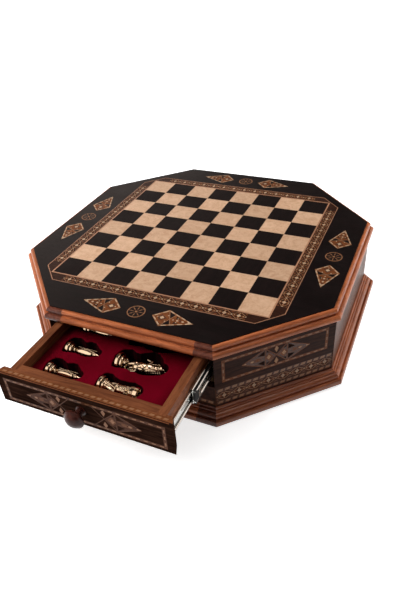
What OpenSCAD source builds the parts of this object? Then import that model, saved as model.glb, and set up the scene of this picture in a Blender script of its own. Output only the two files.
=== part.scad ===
// Octagonal chess box with two opposite drawers on telescopic slides.
// Millimetres. +Z up, z = 0 on the floor, origin under the middle of the board.
// The front drawer opens towards -Y and is drawn pulled out by front_open.

/* [Board] */
// Side of one chess square
square = 45; // [35:1:55]
// Width of the veneered top outside the chess field
top_margin = 79; // [72:1:110]
// Thickness of the veneered top panel and of the squares in it
panel_t = 3; // [2:0.5:6]
// Width of the thin line round the field
field_line_w = 2.4; // [1:0.2:4]
// Width of the mosaic band round the field
mosaic_w = 17; // [10:0.5:25]
// Width of the light line outside the mosaic band
edge_line_w = 1.1; // [0.8:0.1:3]
// Length cut off each corner of the mosaic band
mosaic_cut = 33; // [20:1:45]
// Thickness of inlaid ornament
inlay_t = 1; // [0.6:0.1:2]

/* [Case] */
// Total height
height = 132; // [120:1:170]
// Thickness of the board under the veneered top
top_board_t = 17; // [12:1:22]
// Projection of the cornice past the veneered top
cornice_out = 11.7; // [9:0.1:16]
// Setback of the case sides behind the widest line of the cornice
case_back = 5.7; // [3:0.1:8]
// Thickness of the case sides
wall_t = 10; // [8:0.5:14]
// Height of the base moulding
base_h = 21; // [16:0.5:30]
// Projection of the base moulding past the case sides
base_out = 18; // [14:0.5:24]
// Thickness of the board that closes the case below
base_board_t = 11; // [6:1:14]
// Depth of the drawer openings below the top of the box
opening_depth = 73.2; // [65:0.2:80]
// Thickness of the floor under the drawers
floor_t = 8; // [5:1:12]
// Thickness of the two inside walls that carry the slides
runner_t = 12; // [9:1:16]
// Thickness of the middle wall between the two drawers
middle_t = 10; // [6:1:16]
// Length of the dark end blocks beside the drawers
end_block = 24; // [12:1:40]

/* [Drawer] */
// How far the front drawer is drawn open
front_open = 120; // [0:5:200]
// Thickness of a drawer front
front_t = 13; // [9:1:18]
// Play round a drawer front
front_gap = 0.5; // [0.3:0.1:1]
// Thickness of a drawer's walls
box_wall = 12; // [8:1:14]
// Room between a shut drawer box and the middle wall
back_room = 14; // [6:1:40]
// Depth of the box's upper edge below the top of the chess box
box_drop = 22.5; // [21:0.5:30]
// Height of a drawer box
box_h = 43.5; // [40:0.5:50]
// Thickness of a drawer bottom
bottom_t = 4; // [3:0.5:6]
// Height of a drawer bottom above the lower edge of its sides
bottom_up = 2; // [1:0.5:4]
// Depth of the velvet's face below the upper edge of the sides
velvet_drop = 14; // [11:0.5:18]
// Play between the velvet block and the drawer
velvet_gap = 0.3; // [0.2:0.1:1]
// Width of the dash strip along a drawer front's upper edge
strip_w = 7; // [3:0.5:8]
// Width of the plain edge in front of that strip
strip_edge = 3; // [1:0.5:4]

/* [Slides] */
// Height of a slide
slide_h = 27; // [25:0.5:30]
// Depth of a slide's middle below the top of the box
slide_drop = 48.8; // [47:0.2:51]
// Thickness of a closed slide
slide_t = 10; // [9.6:0.1:12]
// Length of the black ball strips at a slide's front end
ball_strip_len = 60; // [30:5:90]
// Length of the black stop between them
stop_len = 10; // [6:1:16]
// How much shorter a slide is than a drawer box
slide_short = 8; // [4:1:40]
// Sheet thickness of the slide members
sheet_t = 0.8; // [0.6:0.1:1]
// Play between the slide's end and the back of a drawer front
slide_set = 1; // [0.6:0.2:3]

/* [Knob] */
// Diameter of a knob's head
knob_d = 29; // [22:1:36]
// Length of a knob
knob_len = 25; // [22:1:36]
// Depth of a knob's axis below the top of the box
knob_drop = 45; // [40:1:52]
// Length of the screw inside a knob
knob_bite = 9; // [6:1:12]
// Diameter of a knob's screw
knob_screw_d = 4; // [3:0.5:5]

/* [Figures] */
// Length of a pawn
pawn_len = 53; // [45:1:60]
// Length of a rook
rook_len = 57; // [50:1:66]
// Length of a knight
knight_len = 69; // [58:1:76]
// Distance between two rows of figures
row_step = 47; // [44:0.5:50]
// Depth of a lying figure's axis below the velvet's face
figure_sink = 6; // [4:0.5:7]
// Room round a lying figure's base
nest_gap = 3; // [2:0.5:5]
// Play under a lying figure
nest_play = 0.3; // [0.2:0.1:1]

/* [Hidden] */
$fn = 64;
T = tan(22.5);
R2 = sqrt(2);
squares = 8;
top_w = squares * square + 2 * top_margin;
top_a = top_w / 2;
case_a = top_a + cornice_out - case_back;
inner_a = case_a - wall_t;
case_z = height - panel_t - top_board_t;
cornice_h = height - case_z;
field_a = squares * square / 2;
line_a = field_a + field_line_w;
mosaic_a = line_a + mosaic_w;
border_a = mosaic_a + edge_line_w;
rail_z = height - opening_depth;
front_z0 = rail_z + front_gap;
front_z1 = case_z - front_gap;
runner_x = m_at(inner_a) - 0.34;
box_x = runner_x - slide_t;
box_z1 = height - box_drop;
box_z0 = box_z1 - box_h;
bottom_z = box_z0 + bottom_up;
velvet_z0 = bottom_z + bottom_t;
velvet_z1 = box_z1 - velvet_drop;
box_y0 = -case_a + front_t;
box_y1 = -middle_t / 2 - back_room;
box_len = box_y1 - box_y0;
slide_len = box_len - slide_short;
groove = 5;
slide_z = height - slide_drop;
slide_y0 = box_y0 + slide_set;
slide_y1 = slide_y0 + slide_len;
knob_z = height - knob_drop;
side_turns = [0, 90, 180, 270];
corner_turns = [45, 135, 225, 315];
row_y = [for (i = [0 : 3]) box_y0 + 33.3 + i * row_step];
pawn_form = 60;
rook_form = 62;
knight_form = 80;
pawn_d = pawn_len * 24 / pawn_form;
rook_d = rook_len * 27 / rook_form;
knight_d = knight_len * 32 / knight_form;
pawn_x = -83;
tall_x = 1;
axis_z = velvet_z1 - figure_sink;
frame_in = 11.4;
frame_w = 4.6;
frame_drop = 28;
frame_h = opening_depth - frame_drop - 5.2;
band_up = 2.3;
band_h = 30.2;
band_gap = 10.5;
band_drop = height - base_h - band_up - band_h;
corner_frame_h = band_drop - frame_drop - band_gap;
heart = 3.4;
kite_tip = 86.6;
kite_wide = 50.6;
kite_cross = 33.8;
border_pitch = mosaic_w * 1.276;
border_hearts = 2 * floor((mosaic_a - mosaic_cut - 8) / border_pitch);
band_pitch = 23;
band_hearts = 2 * floor((corner_half(case_a) - heart) / band_pitch + 0.5);
rail_strip_h = 9.6;
rail_strip_drop = height - base_h - band_up - rail_strip_h;
kite_mid_y = (top_a + border_a) / 2;

// Half length of a main side of the octagon whose half width is a.
function m_at(a) = top_w / 4 + (a - top_w / 2) * T;
// Distance and half length of a corner side of that octagon.
function corner_dist(a) = (a + m_at(a)) / R2;
function corner_half(a) = (a - m_at(a)) / R2;
// Points on an arc.
function on_arc(c, r, a) = c + r * [cos(a), sin(a)];
function arc(c, r, a0, a1, n) = [for (i = [0 : n]) on_arc(c, r, a0 + (a1 - a0) * i / n)];

// Plan shapes.
module octagon(a, cut) {
  b = a - cut;
  polygon([[a, -b], [a, b], [b, a], [-b, a], [-a, b], [-a, -b], [-b, -a], [b, -a]]);
}
module case_octagon(a) {
  octagon(a, a - m_at(a));
}
module side_plan(outer, inner) {
  polygon([[-m_at(outer), outer], [m_at(outer), outer], [m_at(inner), inner], [-m_at(inner), inner]]);
}
module corner_plan(outer, inner) {
  polygon([
    [-corner_half(outer), corner_dist(outer)], [corner_half(outer), corner_dist(outer)],
    [corner_half(inner), corner_dist(inner)], [-corner_half(inner), corner_dist(inner)]]);
}
// Straight bar between two points.
module bar(p, q, w) {
  d = q - p;
  n = [-d[1], d[0]] / norm(d) * w / 2;
  polygon([p + n, q + n, q - n, p - n]);
}
module prism(z0, z1) {
  translate([0, 0, z0]) linear_extrude(z1 - z0) children();
}
// Shape drawn along X and Z laid on a face at distance d, inlay_t deep.
module on_face(d, z) {
  translate([0, d, z]) rotate([90, 0, 0]) linear_extrude(inlay_t) children();
}
module each_side() {
  for (t = side_turns) rotate([0, 0, t]) children();
}
module each_corner() {
  for (t = corner_turns) rotate([0, 0, t]) children();
}

// Moulding profiles: x outward, y up.
function cornice_profile() = concat(
  [[0, case_z], [0, height - 1.3]],
  arc([1.6, height - 5.6], 4.4, 105, -50, 8),
  [[4.1, height - 9.6]],
  arc([cornice_out - 5.1, height - 14.8], 5.1, 115, -80, 12),
  [[case_a - top_a + 0.8, case_z]]);
function base_profile() = concat(
  [[0, 0], [0, base_h], [1.4, base_h]],
  arc([3.6, base_h], 2.2, 190, 270, 5),
  arc([4.4, base_h - 3.9], 1.7, 90, -50, 6),
  arc([6, base_h - 11.6], 6.6, 82, -5, 9),
  [[base_out - 5.5, base_h - 13.1]],
  arc([base_out - 2.9, base_h - 14.6], 2.6, 145, -10, 6),
  [[base_out, base_h - 16], [base_out, 0.8], [base_out - 0.8, 0]]);

module run(profile, at, span) {
  translate([0, at, 0]) rotate([90, 0, 90]) linear_extrude(span, center = true) polygon(profile);
}
module side_stick(profile, at, out) {
  intersection() {
    run(profile, at, 2 * top_w);
    prism(0, height) side_plan(at + out + 1, at - 1);
  }
}
module corner_stick(profile, at, out) {
  intersection() {
    run(profile, corner_dist(at), 2 * top_w);
    prism(0, height) corner_plan(at + out + 1, at - 1);
  }
}
// Light lengths: whole on the plain sides, and between two dark end blocks beside a drawer.
module light_sticks(profile, at, out) {
  half = m_at(at) - end_block;
  for (t = [90, 270]) rotate([0, 0, t]) side_stick(profile, at, out);
  for (t = [0, 180]) rotate([0, 0, t]) intersection() {
    side_stick(profile, at, out);
    translate([-half, 0, 0]) cube([2 * half, 2 * top_w, height]);
  }
}
module dark_ends(profile, at, out) {
  half = m_at(at) - end_block;
  for (t = [0, 180]) rotate([0, 0, t]) difference() {
    side_stick(profile, at, out);
    translate([-half, 0, -1]) cube([2 * half, 2 * top_w, height + 2]);
  }
}

// Case.
module base_board() {
  color("sienna") prism(0, base_board_t) case_octagon(case_a);
}
module base_sticks() {
  color("peru") light_sticks(base_profile(), case_a, base_out);
}
module base_ends() {
  color("saddlebrown") dark_ends(base_profile(), case_a, base_out);
}
module base_corners() {
  color("peru") each_corner() corner_stick(base_profile(), case_a, base_out);
}
module rail() {
  difference() {
    prism(base_board_t, rail_z) side_plan(case_a, inner_a);
    rail_strip(inlay_t * 2);
  }
}
module rail_strip(t) {
  intersection() {
    prism(height - rail_strip_drop - rail_strip_h, height - rail_strip_drop) side_plan(case_a, inner_a);
    translate([-top_a, case_a - inlay_t, 0]) cube([top_w, t, height]);
  }
}
module front_rail() {
  color("#241712") rotate([0, 0, 180]) rail();
}
module back_rail() {
  color("#241712") rail();
}
module rail_strips() {
  color("goldenrod") for (t = [0, 180]) rotate([0, 0, t]) rail_strip(inlay_t);
}
module side_panels() {
  color("#6b4a35") for (t = [90, 270]) rotate([0, 0, t])
    prism(base_board_t, case_z) side_plan(case_a, inner_a);
}

// Ornament of a drawer front and of a corner panel, in a frame h high.
module diamond(x, a, b) {
  translate([x, 0]) polygon([[-a, 0], [0, -b], [a, 0], [0, b]]);
}
module drop(at, k) {
  translate(at) polygon([[0, 0.25 * k], [3.6, 0.68 * k], [0, k], [-3.6, 0.68 * k]]);
}
module kite_lines(k, shift, tails) {
  w = 1.2;
  tip = [kite_tip - shift, 0];
  up = [kite_wide - shift, k - 0.6];
  low = [up[0], -up[1]];
  cross = [kite_cross - shift, 0];
  for (end = [tip, cross]) {
    bar(end, up, w);
    bar(end, low, w);
  }
  bar(low, up, w);
  drop(cross, k);
  drop(cross, -k);
  diamond(71 - shift, 3.2, 2);
  diamond(45 - shift, 3.4, 4);
  if (tails) {
    bar(cross, [cross[0] - up[1], up[1]], w);
    bar(cross, [cross[0] - up[1], -up[1]], w);
  }
}
module panel_ornament(half, h, shift, tails) {
  difference() {
    square([2 * half, h], center = true);
    difference() {
      square([2 * half - 2 * frame_w, h - 2 * frame_w], center = true);
      for (s = [0, 1]) mirror([s, 0]) kite_lines(h / 2 - 3.1, shift, tails);
    }
  }
}
module corner_ornament() {
  panel_ornament(corner_half(case_a) - frame_in, corner_frame_h, kite_cross, false);
}
module corner_inlay() {
  on_face(corner_dist(case_a), height - frame_drop - corner_frame_h / 2) corner_ornament();
}
module corner_band(t) {
  intersection() {
    prism(height - band_drop - band_h, height - band_drop) corner_plan(case_a, inner_a);
    translate([-top_a, corner_dist(case_a) - inlay_t, 0]) cube([top_w, t, height]);
  }
}
module corner_panels() {
  color("#1d1412") each_corner() difference() {
    prism(base_board_t, case_z) corner_plan(case_a, inner_a);
    corner_inlay();
    corner_band(inlay_t * 2);
  }
}
module corner_inlays() {
  color("burlywood") each_corner() corner_inlay();
}
// Row of light hearts along the middle of a mosaic band.
module heart_row(count, pitch) {
  for (i = [0 : count - 1]) translate([(i - (count - 1) / 2) * pitch, 0]) diamond(0, heart, heart);
}
module corner_hearts() {
  on_face(corner_dist(case_a), height - band_drop - band_h * 0.47) heart_row(band_hearts, band_pitch);
}
module corner_bands() {
  color("goldenrod") each_corner() difference() {
    corner_band(inlay_t);
    corner_hearts();
  }
}
module band_lights() {
  color("wheat") each_corner() corner_hearts();
}
module runner_plan() {
  x1 = runner_x + runner_t;
  y0 = -box_y0 - front_gap;
  y1 = inner_a - (x1 - m_at(inner_a)) - front_gap;
  polygon([[runner_x, -y0], [x1, -y1], [x1, y1], [runner_x, y0]]);
}
module slide_screw_holes(from, length, d) {
  for (s = [-1, 1], y = [slide_y0 + 35, slide_y1 - 35])
    translate([s * from, y, slide_z]) rotate([0, s * 90, 0]) cylinder(h = length, d = d);
}
module runner_walls() {
  color("#8a6a4a") difference() {
    for (s = [0, 180]) rotate([0, 0, s]) prism(base_board_t, case_z) runner_plan();
    for (s = [0, 180]) rotate([0, 0, s]) slide_screw_holes(runner_x, 9, 3);
  }
}
module compartment_floor() {
  color("#8a6a4a") prism(rail_z - floor_t, rail_z)
    square([2 * runner_x, 2 * inner_a], center = true);
}
module middle_wall() {
  color("#8a6a4a") translate([-runner_x, -middle_t / 2, rail_z])
    cube([2 * runner_x, middle_t, case_z - rail_z]);
}
module top_board() {
  color("#7a5638") prism(case_z, height - panel_t) case_octagon(top_a);
}

// Veneered top.
module kite_plan(k) {
  c = 50;
  polygon([for (p = [[25.6, 0], [44.6, 18.9], [89, 0], [44.6, -18.9]]) [c + (p[0] - c) * k, p[1] * k]]);
}
// Crossed lines and light hearts inside a kite.
module kite_lights() {
  for (s = [-1, 1]) bar([45.3, -17.4 * s], [59.2, 12.6 * s], 1.1);
  diamond(41.3, heart, heart);
  diamond(65, 2.1, 2.1);
  diamond(73.2, 2.3, 2.1);
}
module top_kite_plan() {
  difference() {
    kite_plan(1);
    kite_plan(0.84);
  }
  intersection() {
    kite_plan(0.9);
    kite_lights();
  }
}
module kite_heart_plan() {
  difference() {
    kite_plan(0.84);
    kite_lights();
  }
}
module rosette_plan() {
  r = 13.5;
  difference() {
    circle(r);
    circle(r - 1.4);
  }
  circle(2.2);
  for (t = [0 : 45 : 315]) rotate(t) polygon([[1, 0], [7.5, 2.1], [r - 1, 0], [7.5, -2.1]]);
}
module at_kites() {
  for (s = [0, 1]) translate([0, kite_mid_y]) mirror([s, 0]) children();
}
module top_panel() {
  color("#171112") difference() {
    prism(height - panel_t, height) difference() {
      case_octagon(top_a);
      octagon(border_a, mosaic_cut);
    }
    each_side() prism(height - inlay_t, height + 1) {
      at_kites() kite_plan(1);
      translate([0, kite_mid_y]) rosette_plan();
    }
  }
}
module top_inlays() {
  color("burlywood") each_side() prism(height - inlay_t, height) {
    at_kites() top_kite_plan();
    translate([0, kite_mid_y]) rosette_plan();
  }
}
module kite_hearts() {
  color("sienna") each_side() prism(height - inlay_t, height) at_kites() kite_heart_plan();
}
module field_squares(odd) {
  for (i = [0 : squares - 1], j = [0 : squares - 1])
    if ((i + j) % 2 == odd)
      translate([i * square - field_a, j * square - field_a, height - panel_t])
        cube([square, square, panel_t]);
}
module light_squares() {
  color("wheat") field_squares(1);
}
module dark_squares() {
  color("#151011") field_squares(0);
}
module field_lines() {
  color("#c98a5a") prism(height - panel_t, height) {
    difference() {
      square(2 * line_a, center = true);
      square(2 * field_a, center = true);
    }
    difference() {
      octagon(border_a, mosaic_cut);
      octagon(mosaic_a, mosaic_cut - edge_line_w * (2 - R2));
    }
  }
}
module border_row() {
  each_side() translate([0, (line_a + mosaic_a) / 2, height - inlay_t]) linear_extrude(inlay_t)
    heart_row(border_hearts, border_pitch);
}
module mosaic_border() {
  color("#5a3a22") difference() {
    prism(height - panel_t, height) difference() {
      octagon(mosaic_a, mosaic_cut - edge_line_w * (2 - R2));
      square(2 * line_a, center = true);
    }
    border_row();
  }
}
module border_lights() {
  color("wheat") border_row();
}
module cornice_sticks() {
  color("peru") light_sticks(cornice_profile(), top_a, cornice_out);
}
module cornice_ends() {
  color("saddlebrown") dark_ends(cornice_profile(), top_a, cornice_out);
}
module cornice_corners() {
  color("peru") each_corner() corner_stick(cornice_profile(), top_a, cornice_out);
}

// Telescopic slides: x from the drawer side, y up from the slide's middle.
module slide_run(len) {
  for (s = [0, 1]) mirror([s, 0, 0]) translate([box_x, slide_y0 + len, slide_z])
    rotate([90, 0, 0]) linear_extrude(len) children();
}
module both_flanges() {
  for (s = [0, 1]) mirror([0, s]) children();
}
module outer_section() {
  h = slide_h / 2;
  t = sheet_t;
  translate([slide_t - t, -h]) square([t, 2 * h]);
  both_flanges() translate([slide_t - 4.9, h - t]) square([4.9, t]);
  both_flanges() translate([slide_t - 4.9, h - 2 * t]) square([t, t]);
}
module middle_section() {
  h = slide_h / 2;
  t = sheet_t;
  translate([3.9, 1.1 - h]) square([t, 2 * h - 2.2]);
  both_flanges() translate([1.2, h - 1.1 - t]) square([2.8, t]);
  both_flanges() translate([3.9, h - 4.6]) square([4.6, t]);
}
module inner_section() {
  h = slide_h / 2;
  t = sheet_t;
  translate([0, 4.2 - h]) square([t, 2 * h - 8.4]);
  both_flanges() translate([0, h - 4.2 - t]) square([3.3, t]);
}
module outer_pair() {
  difference() {
    slide_run(slide_len) outer_section();
    slide_screw_holes(box_x, slide_t + 1, 3);
  }
}
module middle_pair() {
  slide_run(slide_len) middle_section();
}
module inner_pair() {
  difference() {
    slide_run(slide_len) inner_section();
    slide_screw_holes(box_x - 1, slide_t, 3);
  }
}
module retainer_pair() {
  h = slide_h / 2;
  slide_run(ball_strip_len) both_flanges() {
    translate([1.3, h - 4]) square([1.9, 2.9 - sheet_t]);
    translate([6.1, h - 3.8]) square([2.2, 2.7]);
  }
  slide_run(stop_len) translate([4.7, 4.6 - h]) square([3.6, 2 * h - 9.2]);
}
module runner_screws() {
  color("silver") for (s = [0, 180]) rotate([0, 0, s]) {
    slide_screw_holes(runner_x - sheet_t, 9 + sheet_t, 3);
    slide_screw_holes(runner_x - sheet_t - 1, 1, 5.5);
  }
}
module box_screw_set() {
  for (s = [0, 1]) mirror([s, 0, 0])
    for (y = [slide_y0 + 35, slide_y1 - 35]) translate([box_x + sheet_t, y, slide_z]) {
      rotate([0, 90, 0]) cylinder(h = 1, d = 5.5);
      rotate([0, -90, 0]) cylinder(h = 9 + sheet_t, d = 3);
    }
}
module outer_members() {
  color("silver") for (s = [0, 180]) rotate([0, 0, s]) outer_pair();
}

// One drawer, shut, at the front.
module board_plan() {
  intersection() {
    side_plan(case_a, case_a - front_t);
    translate([front_gap, 0]) side_plan(case_a + 1, case_a - front_t - 1);
    translate([-front_gap, 0]) side_plan(case_a + 1, case_a - front_t - 1);
  }
}
module strip_plan() {
  intersection() {
    board_plan();
    translate([-top_a, case_a - strip_edge - strip_w]) square([top_w, strip_w]);
  }
}
module drawer_ornament() {
  panel_ornament(m_at(case_a) - frame_in, frame_h, 0, true);
}
module drawer_inlay() {
  on_face(case_a, height - frame_drop - frame_h / 2) drawer_ornament();
}
module drawer_board() {
  difference() {
    rotate([0, 0, 180]) difference() {
      prism(front_z0, front_z1) board_plan();
      prism(front_z1 - inlay_t, front_z1 + 1) strip_plan();
      drawer_inlay();
    }
    box_front_screw();
  }
}
// Walls of a drawer: front and sides meet in mitres, the back stands between the sides.
module wall(plan) {
  difference() {
    prism(box_z0, box_z1) polygon(plan);
    bottom_board();
    box_screw_set();
    box_front_screw();
  }
}
module drawer_walls() {
  outer = box_x;
  inner = box_x - box_wall;
  wall([[-outer, box_y0], [outer, box_y0], [inner, box_y0 + box_wall], [-inner, box_y0 + box_wall]]);
  wall([[outer, box_y0], [outer, box_y1], [inner, box_y1], [inner, box_y0 + box_wall]]);
  wall([[-outer, box_y0], [-inner, box_y0 + box_wall], [-inner, box_y1], [-outer, box_y1]]);
  wall([[-inner, box_y1], [inner, box_y1], [inner, box_y1 - box_wall], [-inner, box_y1 - box_wall]]);
}
module bottom_board() {
  w = box_x - box_wall + groove;
  len = box_len - 2 * box_wall + 2 * groove;
  translate([-w, box_y0 + box_wall - groove, bottom_z]) cube([2 * w, len, bottom_t]);
}
module nest(x, r, len, waist) {
  translate([x - nest_gap, -r - nest_gap]) square([len * 0.26 + nest_gap, 2 * r + 2 * nest_gap]);
  translate([x, -waist]) square([len + nest_gap - 1.5, 2 * waist]);
  translate([x + len * 0.72, 0]) circle(r = len * 0.28 + nest_gap - 1);
}
module nests(x, len, d, waist, rows) {
  for (i = rows) translate([0, row_y[i], 0])
    prism(axis_z - d / 2 - nest_play, velvet_z1 + 1) intersection() {
      nest(x, d / 2, len, waist);
      translate([x - nest_gap, -row_step / 2 + 1.5]) square([len + 2 * nest_gap, row_step - 3]);
    }
}
module velvet_block() {
  w = box_x - box_wall - velvet_gap;
  difference() {
    translate([-w, box_y0 + box_wall + velvet_gap, velvet_z0])
      cube([2 * w, box_len - 2 * box_wall - 2 * velvet_gap, velvet_z1 - velvet_z0]);
    nests(pawn_x, pawn_len, pawn_d, pawn_d / 2, [0 : 3]);
    nests(tall_x, rook_len, rook_d, rook_d / 2 - 2, [0, 3]);
    nests(tall_x, knight_len, knight_d, knight_d / 2 + 1.5, [1, 2]);
  }
}
function knob_profile() = concat(
  [[0, 0], [7.5, 0], [7.5, 1], [5, 1.6]],
  arc([4.6, 3], 1.3, -70, 70, 5),
  arc([4.4, 5.6], 1.2, -65, 65, 5),
  arc([4.6, 8], 1.3, -65, 65, 5),
  [[4.6, 9.8], [7, 10.8], [7.4, 11.8], [knob_d / 2 - 3, 12.8]],
  arc([knob_d / 2 - 3.4, 16], 3.4, -70, 30, 6),
  arc([0, knob_len - 16], 16, 38, 90, 7));
module knob() {
  translate([0, -case_a, knob_z]) rotate([90, 0, 0]) difference() {
    rotate_extrude() polygon(knob_profile());
    translate([0, 0, -1]) cylinder(h = knob_bite + 2, d = knob_screw_d);
  }
}
// Screw from inside the box through its front wall and the drawer front into the knob.
module box_front_screw() {
  translate([0, box_y0 + box_wall, knob_z]) rotate([90, 0, 0]) {
    cylinder(h = box_wall + front_t + 1, d = knob_screw_d);
    cylinder(h = 2, d = 2 * knob_screw_d);
  }
}
module knob_screw() {
  translate([0, box_y0 + box_wall, knob_z]) rotate([90, 0, 0]) {
    cylinder(h = box_wall + front_t + knob_bite, d = knob_screw_d);
    cylinder(h = 2, d = 2 * knob_screw_d);
  }
}
module bumpers() {
  h = slide_h / 2;
  for (s = [0, 1]) mirror([s, 0, 0]) translate([box_x, box_y0, slide_z - h + 5.2])
    cube([3.1, slide_set, slide_h - 10.4]);
}

// Moving groups at rest.
module at_front() {
  translate([0, -front_open, 0]) children();
}
module at_front_middle() {
  translate([0, -front_open / 2, 0]) children();
}
module at_back() {
  rotate([0, 0, 180]) children();
}
module front_board() {
  color("#1d1412") at_front() drawer_board();
}
module front_strip() {
  color("goldenrod") at_front() rotate([0, 0, 180]) prism(front_z1 - inlay_t, front_z1) strip_plan();
}
module front_inlay() {
  color("burlywood") at_front() rotate([0, 0, 180]) drawer_inlay();
}
module front_walls() {
  color("#6b4a35") at_front() drawer_walls();
}
module front_bottom() {
  color("#8a6a4a") at_front() bottom_board();
}
module front_velvet() {
  color("#7a0018") at_front() velvet_block();
}
module front_knob() {
  color("#4a1f17") at_front() knob();
}
module front_knob_screw() {
  color("silver") at_front() knob_screw();
}
module front_inner_members() {
  color("silver") at_front() inner_pair();
}
module front_slide_screws() {
  color("silver") at_front() box_screw_set();
}
module front_bumpers() {
  color("#151515") at_front() bumpers();
}
module front_middle_members() {
  color("silver") at_front_middle() middle_pair();
}
module front_retainers() {
  color("#151515") at_front_middle() retainer_pair();
}
module back_board() {
  color("#1d1412") at_back() drawer_board();
}
module back_strip() {
  color("goldenrod") prism(front_z1 - inlay_t, front_z1) strip_plan();
}
module back_inlay() {
  color("burlywood") drawer_inlay();
}
module back_walls() {
  color("#6b4a35") at_back() drawer_walls();
}
module back_bottom() {
  color("#8a6a4a") at_back() bottom_board();
}
module back_velvet() {
  color("#7a0018") at_back() velvet_block();
}
module back_knob() {
  color("#4a1f17") at_back() knob();
}
module back_knob_screw() {
  color("silver") at_back() knob_screw();
}
module back_inner_members() {
  color("silver") at_back() inner_pair();
}
module back_slide_screws() {
  color("silver") at_back() box_screw_set();
}
module back_bumpers() {
  color("#151515") at_back() bumpers();
}
module back_middle_members() {
  color("silver") at_back() middle_pair();
}
module back_retainers() {
  color("#151515") at_back() retainer_pair();
}

// Chess figures, drawn standing and laid with the base to the left.
module lie(x, row) {
  at_front() translate([x, row_y[row], axis_z]) rotate([0, 90, 0]) children();
}
// Round rod between two points, r0 thick at the first and r1 at the second.
module rod(p, q, r0, r1) {
  d = q - p;
  translate(p) rotate([0, acos(d[2] / norm(d)), atan2(d[1], d[0])])
    cylinder(h = norm(d), r1 = r0, r2 = r1, $fn = 24);
}
module ball(p, r) {
  translate(p) sphere(r, $fn = 24);
}
function foot(r) = concat(
  [[0, 0], [r, 0]],
  arc([r - 1.5, 1.8], 1.5, -60, 80, 4),
  [[r * 0.78, 4.2]],
  arc([r * 0.78, 6.2], r * 0.14, -70, 80, 4),
  [[r * 0.62, 9], [r * 0.42, 12.5]]);
function pawn_profile() = concat(
  foot(12),
  [[4, 17], [4.2, 20], [6.6, 24], [7.6, 30], [7, 37], [5.2, 42], [2.8, 45]],
  arc([0, 50.4], 5.4, -55, 20, 6),
  arc([0, 51], 6, 15, 60, 4),
  [[1.4, 57], [0, pawn_form]]);
function rook_profile() = concat(
  foot(13.5),
  [[7.4, 17.3], [6.6, 24.2], [8.2, 25.9], [8.2, 28], [6.6, 29.8], [6.2, 39.6]],
  [[8.4, 42.2], [8.4, 44], [7, 45.7]],
  [[9, 50], [10.2, 51.7], [10.2, rook_form], [7.2, rook_form], [7.2, rook_form - 7], [0, rook_form - 7]]);
// Guardsman with a round shield held to his side.
module pawn() {
  scale(pawn_len / pawn_form) {
    rotate_extrude() polygon(pawn_profile());
    translate([0, -5.6, 32]) rotate([80, 0, 0]) {
      cylinder(h = 2, r = 8.6);
      translate([0, 0, 1]) cylinder(h = 2, r1 = 3.2, r2 = 1.6);
    }
    rod([0, 6, 39], [0, 8.6, 24], 2.2, 1.8);
  }
}
// Rearing horse on a round plinth.
module limb(p, r) {
  for (i = [0 : len(p) - 2]) rod(p[i], p[i + 1], r[i], r[i + 1]);
  for (i = [1 : len(p) - 1]) ball(p[i], r[i] * 1.15);
}
module horse() {
  scale(knight_len / knight_form) {
    rotate_extrude() polygon(concat(foot(16), [[8.6, 13], [8.6, 15], [0, 15]]));
    for (s = [-1, 1]) {
      limb([[s * 3.4, 5, 14], [s * 4, -3, 22], [s * 4, 1, 32]], [1.9, 2.3, 4.2]);
      limb([[s * 3.6, 5, 52], [s * 4.2, 13.5, 54], [s * 4.2, 14, 45]], [3, 1.9, 1.5]);
      rod([s * 1.8, 6.5, 73], [s * 2.2, 6, knight_form], 1.3, 0.5);
    }
    ball([0, -1.5, 34], 8);
    limb([[0, -1.5, 34], [0, 2.5, 52], [0, 7, 71], [0, 14, 65]], [7.2, 6.3, 4, 2.3]);
    limb([[0.3, -7, 36], [0.8, -13, 27], [0.5, -10.5, 15]], [2.4, 2, 1.4]);
    rod([0, -2.5, 56], [0, 2.5, 75], 2.2, 1.6);
  }
}
module pawn_near() {
  color("gold") lie(pawn_x, 0) pawn();
}
module pawn_far() {
  color("gold") lie(pawn_x, 1) pawn();
}
module pawn_third() {
  color("gold") lie(pawn_x, 2) pawn();
}
module rook() {
  color("gold") lie(tall_x, 0) scale(rook_len / rook_form) difference() {
    rotate_extrude() polygon(rook_profile());
    for (t = [0, 60, 120]) rotate([0, 0, t]) translate([-12, -1.8, rook_form - 5]) cube([24, 3.6, 6]);
  }
}
module knight() {
  color("gold") lie(tall_x, 1) horse();
}

base_board();
base_sticks();
base_ends();
base_corners();
front_rail();
back_rail();
rail_strips();
side_panels();
corner_panels();
corner_inlays();
corner_bands();
band_lights();
runner_walls();
compartment_floor();
middle_wall();
top_board();
top_panel();
top_inlays();
kite_hearts();
light_squares();
dark_squares();
field_lines();
mosaic_border();
border_lights();
cornice_sticks();
cornice_ends();
cornice_corners();
outer_members();
runner_screws();
front_board();
front_strip();
front_inlay();
front_walls();
front_bottom();
front_velvet();
front_knob();
front_knob_screw();
front_inner_members();
front_slide_screws();
front_bumpers();
front_middle_members();
front_retainers();
back_board();
back_strip();
back_inlay();
back_walls();
back_bottom();
back_velvet();
back_knob();
back_knob_screw();
back_inner_members();
back_slide_screws();
back_bumpers();
back_middle_members();
back_retainers();
pawn_near();
pawn_far();
pawn_third();
rook();
knight();
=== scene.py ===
import math
import bpy
import bmesh
import numpy as np
from mathutils import Matrix, Vector


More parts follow.
